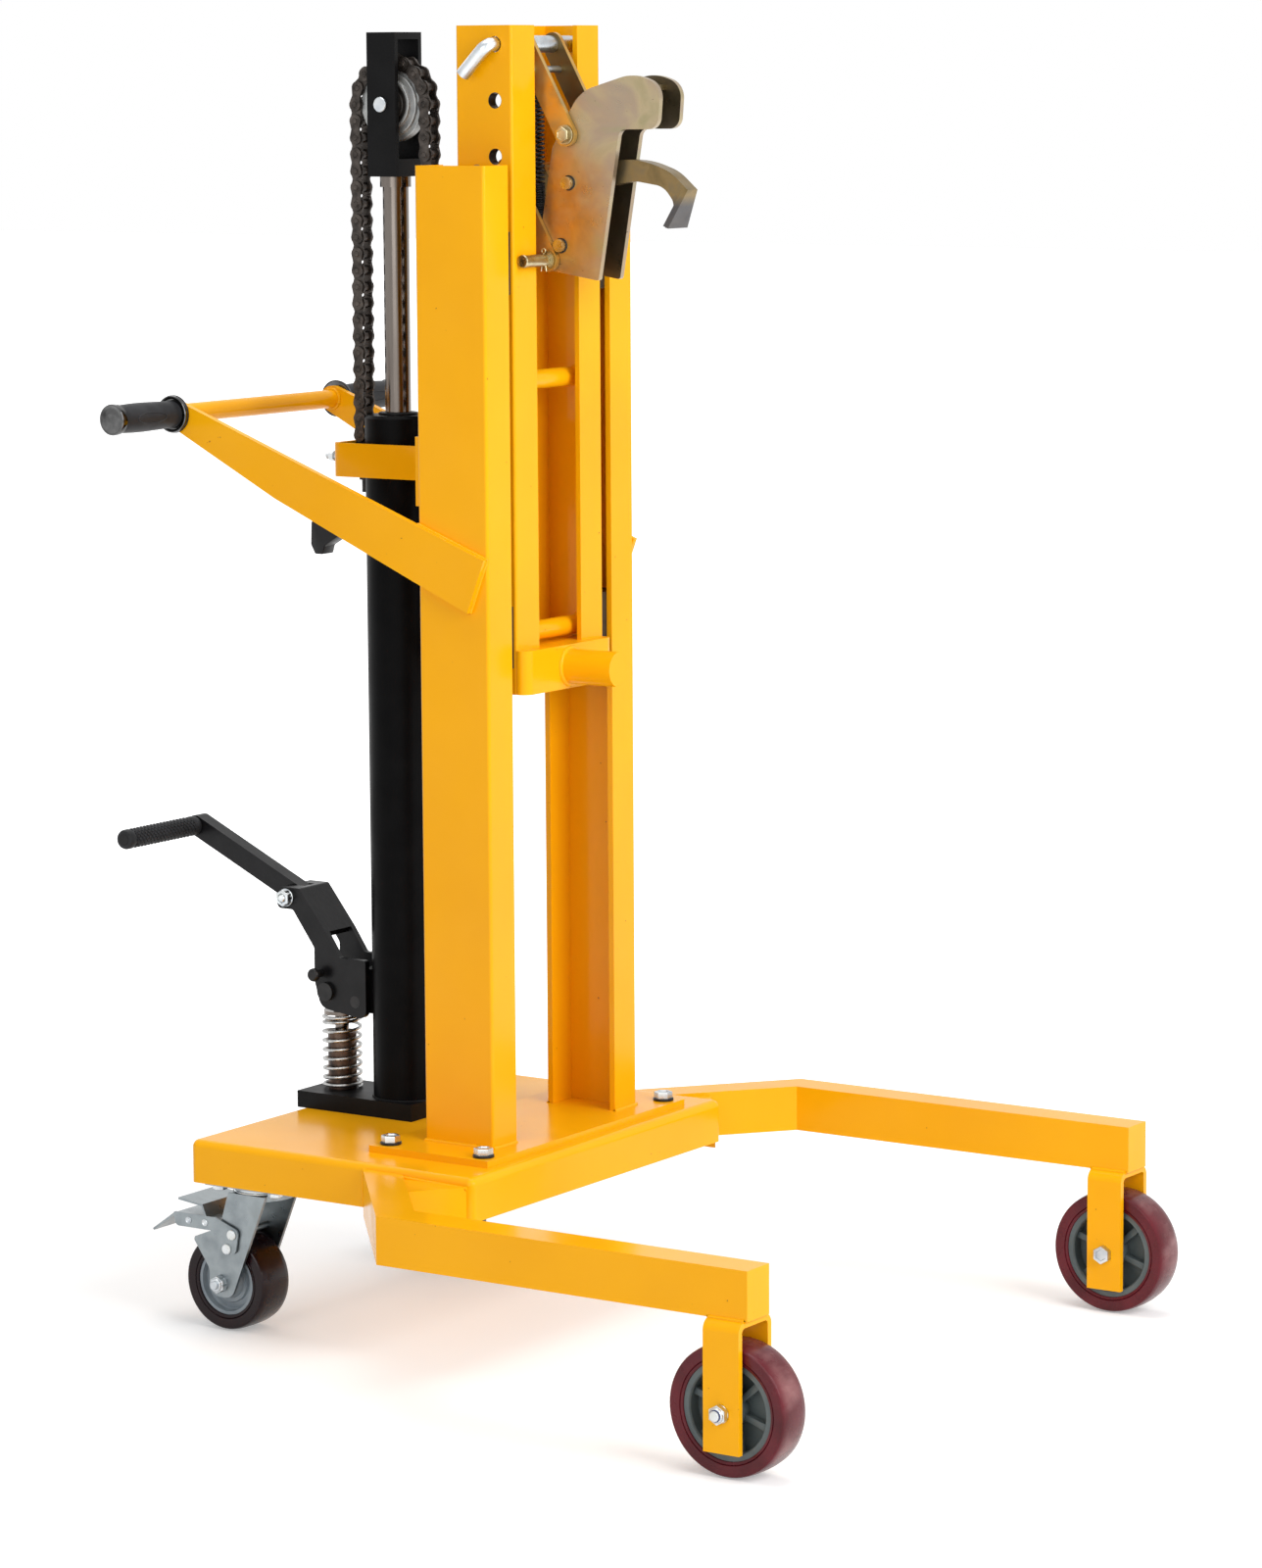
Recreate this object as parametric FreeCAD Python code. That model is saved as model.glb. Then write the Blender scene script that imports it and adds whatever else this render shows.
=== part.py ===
import FreeCAD, Part
import math
import os

# Drum trolley with a foot-pumped hydraulic lift.
# Millimetres, +X forward to the load side, +Y to the left, +Z up.
# The origin is on the floor, below the middle of the outer box.

V = FreeCAD.Vector

# Front wheels and their forks
WHEEL_D = 144.0
WHEEL_W = 44.0
WHEEL_TREAD = 11.0
WHEEL_RIM = 6.0
WHEEL_BOSS_D = 44.0
WHEEL_WEB = 12.0
WHEEL_SPOKE = 9.0
WHEEL_SPOKES = 6
TYRE_ROUND_SHARE = 0.6
AXLE_FORWARD = 538.0
AXLE_D = 12.0
FORK_LENGTH = 44.0
FORK_WIDTH = 64.0
FORK_STEEL = 7.0
FORK_BEND = 12.0
FORK_DROP = 141.0
FORK_TOP = 170.0

# Legs of rectangular tube, splayed out from the deck
LEG_TALL = 54.0
LEG_WIDE = 43.0
LEG_WALL = 4.0
LEG_Y = 417.0
LEG_KINK = 100.0
LEG_ROOT = -34.0
LEG_NOSE = 26.0

# Deck tray folded from plate
DECK_HALF = 257.0
DECK_REAR = 310.0
DECK_FRONT = 90.0
DECK_DEPTH = 50.0
DECK_STEEL = 5.0
DECK_BEND = 9.0
DECK_ABOVE_LEG = 6.0
GUSSET_LONG = 70.0

# Mast channels on a bolted base plate
BASE_T = 8.0
BASE_BACK = 93.0
BASE_AHEAD = 72.0
BASE_HALF = 203.0
BASE_BOLT_INSET = 18.0
BASE_BOLT_D = 12.0
BOLT_HEAD_AF = 19.0
BOLT_HEAD_T = 8.0
WASHER_D = 24.0
WASHER_T = 2.5
MAST_BACK = 54.0
MAST_DEPTH = 95.0
MAST_HALF = 147.0
MAST_FLANGE = 46.0
MAST_STEEL = 7.0
MAST_TALL = 1106.0
TIE_T = 8.0

# Carriage channels, bars and cross block
CARRIAGE_TALL = 748.0
CARRIAGE_DEPTH = 76.0
CARRIAGE_HALF = 87.5
CARRIAGE_FLANGE = 45.0
CARRIAGE_STEEL = 6.0
PIN_HOLE_D = 18.0
PIN_HOLE_AHEAD = 15.0
PIN_HOLE_PITCH = 62.0
PIN_HOLES = 4
PIN_HOLE_DOWN = 21.0
BAR_D = 22.0
BAR_AHEAD = 12.0
BAR_HEIGHTS = (351.0, 65.0)
SPRING_BAR_D = 12.0
BLOCK_TALL = 50.0
BLOCK_AHEAD = 52.0
BLOCK_ROUND = 12.0
REST_D = 40.0
REST_LONG = 66.0
REST_WALL = 4.0
REST_CAP = 5.0
PAD_TALL = 70.0
PAD_INSET = 30.0
PAD_SPAN = 420.0

# Hydraulic cylinder, ram and pump
PUMP_BLOCK_T = 20.0
PUMP_BLOCK_HALF = 45.0
PUMP_BLOCK_BACK = 315.0
PUMP_BLOCK_AHEAD = 148.0
CYLINDER_BACK = 187.0
CYLINDER_D = 78.0
CYLINDER_BORE = 54.0
CYLINDER_TALL = 777.0
GLAND_D = 79.0
GLAND_TALL = 27.0
ROD_D = 30.0
ROD_SHOWN = 274.0
ROD_HIDDEN = 354.0
PISTON_TALL = 40.0
COLLAR_D = 36.0
COLLAR_TALL = 12.0
PUMP_BACK = 281.0
BARREL_D = 34.0
BARREL_TALL = 68.0
PLUNGER_D = 16.5
PLUNGER_SUNK = 48.0
SPRING_OD = 45.0
SPRING_WIRE = 3.5
SPRING_TALL = 90.0
SPRING_TURNS = 9.0
SPRING_SEAT_T = 4.0
PLUNGER_NECK_D = 20.0

# Chain, sheave and its bracket
CHAIN_PITCH = 19.05
CHAIN_ROLLER_D = 11.91
CHAIN_INNER_W = 12.57
CHAIN_PLATE_T = 2.4
CHAIN_INNER_H = 18.1
CHAIN_OUTER_H = 15.6
CHAIN_WAIST_SHARE = 0.72
CHAIN_WRAP_LINKS = 8
CHAIN_REAR_LINKS = 20
CHAIN_FRONT_LINKS = 33
CHAIN_LUG_UP = 31.35
SHEAVE_UP = 82.0
SHEAVE_RIM_W = 11.5
SHEAVE_HUB_D = 40.0
SHEAVE_PIN_D = 16.0
SHEAVE_PIN_PROUD = 4.0
BRACKET_DEEP = 40.0
BRACKET_WIDE = 52.0
BRACKET_TALL = 164.0
BRACKET_WALL = 6.0
BRACKET_TOP = 8.0
BRACKET_FOOT = 20.0
TONGUE_W = 12.0
STUD_D = 8.0
STUD_TAIL = 27.0
STUD_NUT_AF = 13.0
STUD_NUT_T = 6.5
STRAP_DOWN = 44.0
STRAP_TALL = 39.0
STRAP_T = 6.0
STRAP_HALF = 46.0
STRAP_BACK = 251.0
STRAP_BEND = 12.0
STRAP_SHELF_T = 6.0
STRAP_BOLT_D = 8.0
STRAP_BOLT_LONG = 16.0

# Handles
HANDLE_BACK = 394.0
HANDLE_UP = 819.0
HANDLE_T = 8.0
HANDLE_EYE = 34.0
HANDLE_FOOT_UP = 670.0
HANDLE_FOOT_TALL = 65.0
HANDLE_KINK_BACK = 251.0
HANDLE_KINK_TALL = 54.0
HANDLE_BAR_D = 22.0
HANDLE_BAR_WALL = 2.5
GRIP_D = 34.0
GRIP_LONG = 106.0
RING_D = 44.0
RING_T = 4.0
CAP_D = 36.0
CAP_T = 5.0

# Pump lever and pedal
LEVER_PIVOT_BACK = 240.0
LEVER_PIVOT_UP = 111.0
LEVER_PIN_D = 14.0
LEVER_HALF = 29.0
LEVER_CHEEK = 8.0
LEVER_LONG = 129.0
LEVER_TALL = 149.0
LEVER_LUG_HALF = 20.5
LEVER_LUG_R = 13.0
LEVER_LUG_RISE = 40.0
LEVER_ROLLER_D = 30.0
ROLLER_RISE = 9.1
LEVER_ROLLER_W = 26.0
LEVER_ROLLER_PIN_D = 12.0
LEVER_HEAD_D = 22.0
LEVER_HEAD_T = 5.0
STOP_PIN_D = 9.0
STOP_PIN_PROUD = 12.0
STOP_PIN_BACK = 290.0
STOP_PIN_RISE = 30.0
STOP_HEAD_D = 16.0
STOP_HEAD_T = 6.0
PEDAL_BOLT_BACK = 339.0
PEDAL_BOLT_RISE = 117.0
PEDAL_BOLT_D = 10.0
PEDAL_NUT_AF = 17.0
PEDAL_NUT_T = 8.0
PEDAL_ARM_T = 20.0
PEDAL_ARM_TALL = 24.0
PEDAL_BACK = 490.0
PEDAL_RISE = 72.0
PEDAL_GRIP_D = 24.0
PEDAL_GRIP_LONG = 136.0
PEDAL_ROD_D = 14.0
RELEASE_PIVOT_UP = 690.0
RELEASE_LUG_LONG = 22.0
RELEASE_LUG_HALF = 5.0
RELEASE_PIN_D = 6.0
RELEASE_T = 16.0
RELEASE_LONG = 60.0
RELEASE_TALL = 58.0

# Gripper
LINK_DROP = 100.5
LINK_REACH = 55.8
LINK_T = 6.0
LINK_ROUND = 13.0
LINK_SPREAD = 21.5
SLEEVE_D = 19.0
SLEEVE_HALF = 78.0
LOCK_PIN_D = 16.0
LOCK_PIN_PROUD = 3.0
LOCK_PIN_BEND = 11.0
LOCK_PIN_TAIL = 36.0
LINK_PIN_D = 12.0
PIN_HEAD_SHARE = 0.6
LOWER_PIN_D = 14.0
LOWER_PIN_HALF = 80.0
LOWER_PIN_DOWN = 240.0
BEAK_T = 7.0
BEAK_LONG = 165.0
BEAK_TALL = 229.0
BEAK_DOWN = 262.5
BEAK_BACK_AHEAD = 33.0
BRIDGE_T = 6.0
JAW_PIVOT_AHEAD = 71.0
JAW_PIVOT_DOWN = 154.0
JAW_PIN_D = 12.0
JAW_T = 20.0
JAW_LONG = 168.0
JAW_TALL = 76.0
JAW_PAD_HALF = 20.0
JAW_PAD_T = 7.0
RIVET_D = 12.0
RIVET_AHEAD = 60.0
RIVET_DOWN = 224.0
PULL_SPRING_OD = 17.0
PULL_SPRING_WIRE = 2.6
PULL_SPRING_TURNS = 15.0
PULL_SPRING_AHEAD = 12.0
PULL_SPRING_DOWN = 216.0
PULL_SPRING_TALL = 169.0
PULL_BOLT_D = 8.0
PULL_BOLT_DOWN = 28.0
PULL_LEG = 14.0
PULL_BEND = 4.0

# Rear castors
CASTOR_BACK = 247.0
CASTOR_Y = 200.0
CASTOR_TRAIL = 40.0
CASTOR_WHEEL_D = 115.0
CASTOR_WHEEL_W = 50.0
CASTOR_TREAD = 14.0
CASTOR_RIM = 5.0
CASTOR_BOSS_D = 36.0
CASTOR_WEB = 12.0
CASTOR_PAD_T = 6.0
CASTOR_PLATE_L = 105.0
CASTOR_PLATE_W = 86.0
CASTOR_PLATE_T = 5.0
CASTOR_RACE_D = 64.0
CASTOR_RACE_T = 8.0
CASTOR_KING_D = 12.0
CASTOR_KING_NUT_D = 22.0
CASTOR_KING_NUT_T = 6.0
CASTOR_CROWN_T = 6.0
CASTOR_CROWN_D = 72.0
CASTOR_FORK_T = 4.0
CASTOR_FORK_HALF = 33.0
CASTOR_BOSS_R = 16.0
CASTOR_WING_BACK = 40.0
CASTOR_WING_UP = 108.0
CASTOR_AXLE_D = 10.0
CASTOR_NUT_AF = 17.0
CASTOR_NUT_T = 8.0
BRAKE_STEEL = 2.5
BRAKE_BACK = 135.0
BRAKE_LONG = 125.0
BRAKE_TALL = 46.0
BRAKE_UP = 48.5
BRAKE_HALF = 36.5
BRAKE_PIN_D = 8.0
BRAKE_PIN_BACK = 20.0
BRAKE_PIN_UP = 12.0

# Clearances
RUN = 0.05
GAP = 0.3
LINK_PLAY = 0.2
HOLE_PLAY = 0.5
OVERRUN = 2.0

# Heights and places worked out from the sizes above
MAST_X = (PEDAL_BACK + PEDAL_GRIP_D / 2 - AXLE_FORWARD - WHEEL_D / 2) / 2
WHEEL_R = WHEEL_D / 2
WHEEL_X = MAST_X + AXLE_FORWARD
LEG_Z = (FORK_TOP, FORK_TOP + LEG_TALL)
DECK_TOP = LEG_Z[1] + DECK_ABOVE_LEG
DECK_Z = (DECK_TOP - DECK_DEPTH, DECK_TOP)
DECK_X = (MAST_X - DECK_REAR, MAST_X + DECK_FRONT)
BASE_Z = (DECK_TOP, DECK_TOP + BASE_T)
MAST_Z = (BASE_Z[1], BASE_Z[1] + MAST_TALL)
MAST_BOX_X = (MAST_X - MAST_BACK, MAST_X - MAST_BACK + MAST_DEPTH)
CARRIAGE_X = (MAST_X - CARRIAGE_DEPTH / 2, MAST_X + CARRIAGE_DEPTH / 2)
CYLINDER_X = MAST_X - CYLINDER_BACK
PUMP_X = MAST_X - PUMP_BACK
BLOCK_TOP = DECK_TOP + PUMP_BLOCK_T
TUBE_Z = (BLOCK_TOP, BLOCK_TOP + CYLINDER_TALL)
GLAND_Z = (TUBE_Z[1], TUBE_Z[1] + GLAND_TALL)
BRACKET_Z = (GLAND_Z[1] + ROD_SHOWN, GLAND_Z[1] + ROD_SHOWN + BRACKET_TALL)
SHEAVE_Z = BRACKET_Z[0] + SHEAVE_UP
SHEAVE_R = CHAIN_PITCH / (2 * math.sin(math.pi / (2 * CHAIN_WRAP_LINKS)))
CHAIN_BACK_X = CYLINDER_X - SHEAVE_R
CHAIN_FRONT_X = CYLINDER_X + SHEAVE_R
ANCHOR_Z = SHEAVE_Z - CHAIN_REAR_LINKS * CHAIN_PITCH
LUG_Z = SHEAVE_Z - CHAIN_FRONT_LINKS * CHAIN_PITCH
CARRIAGE_Z = (LUG_Z - CHAIN_LUG_UP, LUG_Z - CHAIN_LUG_UP + CARRIAGE_TALL)
PIN_X = MAST_X + PIN_HOLE_AHEAD
PIN_Z = CARRIAGE_Z[1] - PIN_HOLE_DOWN
LINK_B = (PIN_X + LINK_REACH, PIN_Z - LINK_DROP)
LINK_C = (CARRIAGE_X[1] + LOWER_PIN_D / 2 + GAP, PIN_Z - LOWER_PIN_DOWN)
LINK_D = (LINK_C[0] - LINK_REACH, LINK_C[1] + LINK_DROP)
JAW_X = MAST_X + JAW_PIVOT_AHEAD
JAW_PIVOT_Z = PIN_Z - JAW_PIVOT_DOWN
BEAK_BASE_Z = PIN_Z - BEAK_DOWN
RIVET_Z = PIN_Z - RIVET_DOWN
PULL_SPRING_LOW = PIN_Z - PULL_SPRING_DOWN
PULL_BOLT_X = MAST_X + PULL_SPRING_AHEAD + (PULL_SPRING_OD + PULL_BOLT_D) / 2 + GAP
PULL_BOLT_Z = PIN_Z - PULL_BOLT_DOWN
BRACKET_HALF = BRACKET_WIDE / 2
STRAP_Z = GLAND_Z[0] - STRAP_DOWN
SPRING_TOP = BLOCK_TOP + SPRING_TALL
LEVER_X = MAST_X - LEVER_PIVOT_BACK
LEVER_PIVOT_Z = BLOCK_TOP + LEVER_PIVOT_UP
ROLLER_Z = LEVER_PIVOT_Z + ROLLER_RISE
PLUNGER_TOP = ROLLER_Z - LEVER_ROLLER_D / 2 - GAP
PEDAL_BOLT_X = MAST_X - PEDAL_BOLT_BACK
PEDAL_BOLT_Z = LEVER_PIVOT_Z + PEDAL_BOLT_RISE
PEDAL_Z = PEDAL_BOLT_Z + PEDAL_RISE
PEDAL_X = MAST_X - PEDAL_BACK
HANDLE_X = MAST_X - HANDLE_BACK
HANDLE_Z = MAST_Z[0] + HANDLE_UP
HANDLE_FOOT_Z = MAST_Z[0] + HANDLE_FOOT_UP
RELEASE_X = CYLINDER_X - CYLINDER_D / 2 - RELEASE_LUG_LONG / 2
RELEASE_Z = TUBE_Z[0] + RELEASE_PIVOT_UP
CASTOR_X = MAST_X - CASTOR_BACK
CASTOR_AXLE_X = CASTOR_X - CASTOR_TRAIL
CASTOR_R = CASTOR_WHEEL_D / 2
BRAKE_LOW = CASTOR_R + BRAKE_UP
PLATE_Z = (DECK_Z[0] - CASTOR_PLATE_T, DECK_Z[0])
RACE_Z = (PLATE_Z[0] - CASTOR_RACE_T, PLATE_Z[0])
CROWN_Z = (RACE_Z[0] - GAP - CASTOR_CROWN_T, RACE_Z[0] - GAP)

# Outlines as shares of the length and height of the piece, with corner radii as shares of the length
BEAK_SHARES = (
    (0.097, 0.644, 0.12), (0.321, 0.915, 0.30), (0.760, 1.004, 0.34), (0.978, 0.949, 0.13),
    (0.954, 0.735, 0.08), (0.645, 0.734, 0.06), (0.470, 0.0, 0.02), (0.0, 0.055, 0.03), (0.012, 0.29, 0.15),
)
JAW_SHARES = (
    (0.0, 0.489, 0.07), (0.0, 0.891, 0.07), (0.607, 1.0355, 0.71), (0.863, 0.838, 0.35), (1.0, 0.575, 0.0),
    (0.881, 0.016, 0.0), (0.821, 0.022, 0.0), (0.902, 0.364, 0.08), (0.81, 0.621, 0.15), (0.577, 0.70, 0.35),
)
LEVER_SHARES = (
    (0.0, 1.0, 0.05), (0.255, 1.0, 0.03), (0.558, 0.664, 0.06), (0.705, 0.475, 0.03), (1.0, 0.475, 0.03),
    (1.0, 0.0, 0.07), (0.488, 0.06, 0.12), (0.419, 0.268, 0.05), (0.419, 0.537, 0.05), (0.178, 0.826, 0.04),
    (0.0, 0.826, 0.05),
)
RELEASE_SHARES = (
    (0.72, 0.74, 0.10), (1.0, 0.74, 0.10), (1.0, 1.0, 0.10), (0.60, 1.0, 0.15), (0.22, 0.70, 0.15),
    (0.0, 0.06, 0.05), (0.20, 0.0, 0.05), (0.46, 0.52, 0.15),
)
BRAKE_CHEEK_SHARES = (
    (0.232, 0.652, 0.02), (0.728, 0.652, 0.04), (1.0, 0.39, 0.06), (0.96, -0.24, 0.06), (0.76, -0.24, 0.06),
    (0.696, 0.30, 0.05), (0.264, 0.30, 0.05),
)
BRAKE_COVER_SHARES = ((0.0, 0.087), (0.248, 0.565), (0.76, 0.565))
BRAKE_TAB_SHARES = ((0.296, 0.978), (0.568, 0.891), (0.616, 0.565))


def span(centre, size):
    """Low and high ends of a size that is centred on a place."""
    return (centre - size / 2, centre + size / 2)


def box(x, y, z):
    return Part.makeBox(x[1] - x[0], y[1] - y[0], z[1] - z[0], V(x[0], y[0], z[0]))


def rod(radius, start, end):
    return Part.makeCylinder(radius, (end - start).Length, start, end - start)


def rod_x(radius, x, y, z):
    return rod(radius, V(x[0], y, z), V(x[1], y, z))


def rod_y(radius, x, y, z):
    return rod(radius, V(x, y[0], z), V(x, y[1], z))


def rod_z(radius, x, y, z):
    return rod(radius, V(x, y, z[0]), V(x, y, z[1]))


def rounded_wire(corners, place):
    """Closed outline through (u, v, radius) corners, with an arc at each corner that has a radius."""
    bends = []
    for i, (u, v, radius) in enumerate(corners):
        corner = V(u, v, 0)
        before = corners[i - 1]
        after = corners[(i + 1) % len(corners)]
        to_before = (V(before[0], before[1], 0) - corner).normalize()
        to_after = (V(after[0], after[1], 0) - corner).normalize()
        half = to_before.getAngle(to_after) / 2
        run = radius / math.tan(half)
        middle = corner + (to_before + to_after).normalize() * (radius / math.sin(half) - radius)
        bends.append((corner + to_before * run, middle, corner + to_after * run, radius))
    edges = []
    for i, (start, middle, end, radius) in enumerate(bends):
        if radius > 0:
            edges.append(Part.Arc(place(start), place(middle), place(end)).toShape())
        edges.append(Part.LineSegment(place(end), place(bends[(i + 1) % len(bends)][0])).toShape())
    return Part.Wire(edges)


def plate_xz(corners, y):
    wire = rounded_wire(corners, lambda p: V(p.x, y[0], p.y))
    return Part.Face(wire).extrude(V(0, y[1] - y[0], 0))


def plate_xy(corners, z):
    wire = rounded_wire(corners, lambda p: V(p.x, p.y, z[0]))
    return Part.Face(wire).extrude(V(0, 0, z[1] - z[0]))


def plate_yz(corners, x):
    wire = rounded_wire(corners, lambda p: V(x[0], p.x, p.y))
    return Part.Face(wire).extrude(V(x[1] - x[0], 0, 0))


def from_shares(shares, low, length, height):
    """Corners of an outline whose shares are counted from its low corner."""
    return [(low[0] + u * length, low[1] + v * height, r * length) for u, v, r in shares]


def bar_outline(start, end, radius):
    """Corners of a flat bar with round ends about two points."""
    along = (V(end[0], end[1], 0) - V(start[0], start[1], 0)).normalize()
    side = V(-along.y, along.x, 0) * radius
    ends = []
    for point, way in ((start, -1), (end, 1)):
        tip = V(point[0], point[1], 0) + along * (way * radius)
        ends.append(tip + side * way)
        ends.append(tip - side * way)
    return [(p.x, p.y, radius * (1 - RUN)) for p in ends]


def strip_outline(line, thick):
    """Corners of a bent strip, thickened to the left of a line of three points."""
    first = (line[1] - line[0]).normalize()
    second = (line[2] - line[1]).normalize()
    left = [V(-way.y, way.x, 0) * thick for way in (first, second)]
    mitre = (left[0] + left[1]) * (1 / (1 + first.dot(second)))
    points = line + [line[2] + left[1], line[1] + mitre, line[0] + left[0]]
    return [(p.x, p.y, 0) for p in points]


def hexagon(across_flats, centre, axis, height):
    """Hexagon head or nut that stands on a point, along an axis."""
    turn = FreeCAD.Rotation(V(0, 0, 1), axis)
    radius = across_flats / math.sqrt(3)
    points = [turn.multVec(V(radius, 0, 0))]
    for i in range(1, 7):
        angle = i * math.pi / 3
        points.append(turn.multVec(V(radius * math.cos(angle), radius * math.sin(angle), 0)))
    face = Part.Face(Part.makePolygon([centre + p for p in points[:6]] + [centre + points[0]]))
    return face.extrude(axis * height)


def mirrored(shape):
    return shape.mirror(V(0, 0, 0), V(0, 1, 0))


def fused(first, *others):
    return first.fuse(list(others)).removeSplitter()


def group(*shapes):
    return Part.makeCompound(list(shapes))


def save(name, shape):
    shape.exportStep("parts/" + name + ".step")


def coil(radius, wire, rise, turns, foot):
    """Points every eighth turn and quarter-turn arcs of a coil that climbs from its foot."""
    def at(step):
        angle = step * math.pi / 4
        height = rise * step / (8 * turns)
        return foot + V(radius * math.cos(angle), radius * math.sin(angle), height)
    points = [at(step) for step in range(int(8 * turns) + 1)]
    arcs = [Part.Arc(*points[i:i + 3]).toShape() for i in range(0, len(points) - 2, 2)]
    least = min((a - b).Length for i, a in enumerate(points) for b in points[i + 4:])
    print("least gap between turns", round(least - wire, 2))
    return points, arcs


def wire_form(edges, wire):
    """One unbroken round wire swept along joined edges."""
    start = edges[0].valueAt(edges[0].FirstParameter)
    heading = edges[0].tangentAt(edges[0].FirstParameter)
    ring = Part.Wire(Part.Circle(start, heading, wire / 2).toShape())
    return Part.Wire(edges).makePipeShell([ring], True, False)


# Deck, legs and forks

def deck_tray():
    outer = box(DECK_X, span(0, 2 * DECK_HALF), DECK_Z)
    bends = [e for e in outer.Edges if e.CenterOfMass.z > DECK_Z[0] + DECK_DEPTH / 4]
    outer = outer.makeFillet(DECK_BEND, bends)
    inner_x = (DECK_X[0] + DECK_STEEL, DECK_X[1] - DECK_STEEL)
    hollow = box(inner_x, span(0, 2 * (DECK_HALF - DECK_STEEL)), (DECK_Z[0] - OVERRUN, DECK_Z[1] - DECK_STEEL))
    tray = outer.cut(hollow)
    for side in (1, -1):
        pad_y = sorted((side * (DECK_HALF - DECK_STEEL), side * (CASTOR_Y - CASTOR_PLATE_W / 2)))
        pad_x = (inner_x[0], CASTOR_X + CASTOR_PLATE_L / 2)
        tray = tray.fuse(box(pad_x, pad_y, (DECK_Z[0], DECK_Z[0] + CASTOR_PAD_T)))
    for x, y in base_bolt_places():
        tray = tray.cut(rod_z(BASE_BOLT_D / 2 + HOLE_PLAY, x, y, (DECK_Z[0], DECK_Z[1] + OVERRUN)))
    return tray.removeSplitter()


def leg_line(offset):
    """Plan line of a leg moved sideways: root on the deck side, kink and nose."""
    root = V(MAST_X + LEG_ROOT, DECK_HALF, 0)
    kink = V(MAST_X + LEG_KINK, LEG_Y, 0)
    slant = (kink - root).normalize()
    normal = V(-slant.y, slant.x, 0)
    start = root + normal * offset
    start = start - slant * ((start.y - DECK_HALF) / slant.y)
    bend_y = LEG_Y + offset
    bend = start + slant * ((bend_y - start.y) / slant.y)
    return start, bend, V(WHEEL_X + LEG_NOSE, bend_y, 0)


def leg():
    left = leg_line(LEG_WIDE / 2)
    right = leg_line(-LEG_WIDE / 2)
    corners = [(p.x, p.y, 0) for p in left + right[::-1]]
    shell = plate_xy(corners, LEG_Z)
    left_in = leg_line(LEG_WIDE / 2 - LEG_WALL)
    right_in = leg_line(LEG_WALL - LEG_WIDE / 2)
    nose = WHEEL_X + LEG_NOSE - LEG_WALL
    inner = [(p.x, p.y, 0) for p in left_in[:2]]
    inner += [(nose, left_in[2].y, 0), (nose, right_in[2].y, 0)]
    inner += [(p.x, p.y, 0) for p in right_in[1::-1]]
    shell = shell.cut(plate_xy(inner, (LEG_Z[0] + LEG_WALL, LEG_Z[1] - LEG_WALL)))
    root = right[0]
    gusset = [(root.x, DECK_HALF, 0), (DECK_X[1] - DECK_BEND, DECK_HALF, 0)]
    along = (right[1] - right[0]).normalize() * GUSSET_LONG
    gusset.append((root.x + along.x, DECK_HALF + along.y, 0))
    return shell.fuse(plate_xy(gusset, (LEG_Z[0], LEG_Z[0] + LEG_TALL - LEG_WALL))).removeSplitter()


def front_fork(side):
    top = FORK_TOP
    low = top - FORK_DROP
    outer = FORK_WIDTH / 2
    inner = outer - FORK_STEEL
    y = side * LEG_Y
    corners = [
        (y - outer, low, 0), (y - outer, top, FORK_BEND), (y + outer, top, FORK_BEND), (y + outer, low, 0),
        (y + inner, low, 0), (y + inner, top - FORK_STEEL, FORK_BEND - FORK_STEEL),
        (y - inner, top - FORK_STEEL, FORK_BEND - FORK_STEEL), (y - inner, low, 0),
    ]
    fork = plate_yz(corners, span(WHEEL_X, FORK_LENGTH))
    return fork.cut(rod_y(AXLE_D / 2 + RUN, WHEEL_X, span(y, FORK_WIDTH + OVERRUN), WHEEL_R))


def front_axle(side):
    """Axle bolt with its head on the inside and a lock nut on the outside."""
    inside = side * (LEG_Y - FORK_WIDTH / 2 - GAP)
    outside = side * (LEG_Y + FORK_WIDTH / 2 + GAP)
    out = V(0, side, 0)
    reach = BOLT_HEAD_T + WASHER_T
    shank = rod_y(AXLE_D / 2, WHEEL_X, sorted((inside, outside + side * reach)), WHEEL_R)
    head = hexagon(BOLT_HEAD_AF, V(WHEEL_X, inside, WHEEL_R), out * -1, BOLT_HEAD_T)
    nut = hexagon(BOLT_HEAD_AF, V(WHEEL_X, outside, WHEEL_R), out, BOLT_HEAD_T)
    return fused(shank, head, nut)


# Wheels

def spoked_hub(outer, inner, width, boss, boss_width, bore, web, spoke, spokes, place):
    """Moulded hub: rim ring, boss and flat spokes on a thin web, about the Y axis."""
    rim = rod_y(outer, 0, span(0, width), 0).cut(rod_y(inner, 0, span(0, width), 0))
    middle = rod_y(boss, 0, span(0, boss_width), 0)
    hub = rim.fuse([middle, rod_y(inner, 0, span(0, web / 2), 0)])
    arms = []
    for i in range(spokes):
        arm = box((0, inner + (outer - inner) / 2), span(0, width * 2 / 3), span(0, spoke))
        arm.rotate(V(0, 0, 0), V(0, 1, 0), 360 * i / spokes)
        arms.append(arm)
    hub = hub.fuse(arms).cut(rod_y(bore, 0, span(0, boss_width + OVERRUN), 0)).removeSplitter()
    hub.translate(place)
    return hub


def tyre(outer, inner, width, place):
    """Ring of tread with its outer edges rounded."""
    round_off = (outer - inner) * TYRE_ROUND_SHARE
    corners = [
        (inner, -width / 2, 0), (outer, -width / 2, round_off),
        (outer, width / 2, round_off), (inner, width / 2, 0),
    ]
    face = Part.Face(rounded_wire(corners, lambda p: V(p.x, p.y, 0)))
    ring = face.revolve(V(0, 0, 0), V(0, 1, 0), 360)
    ring.translate(place)
    return ring


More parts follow.
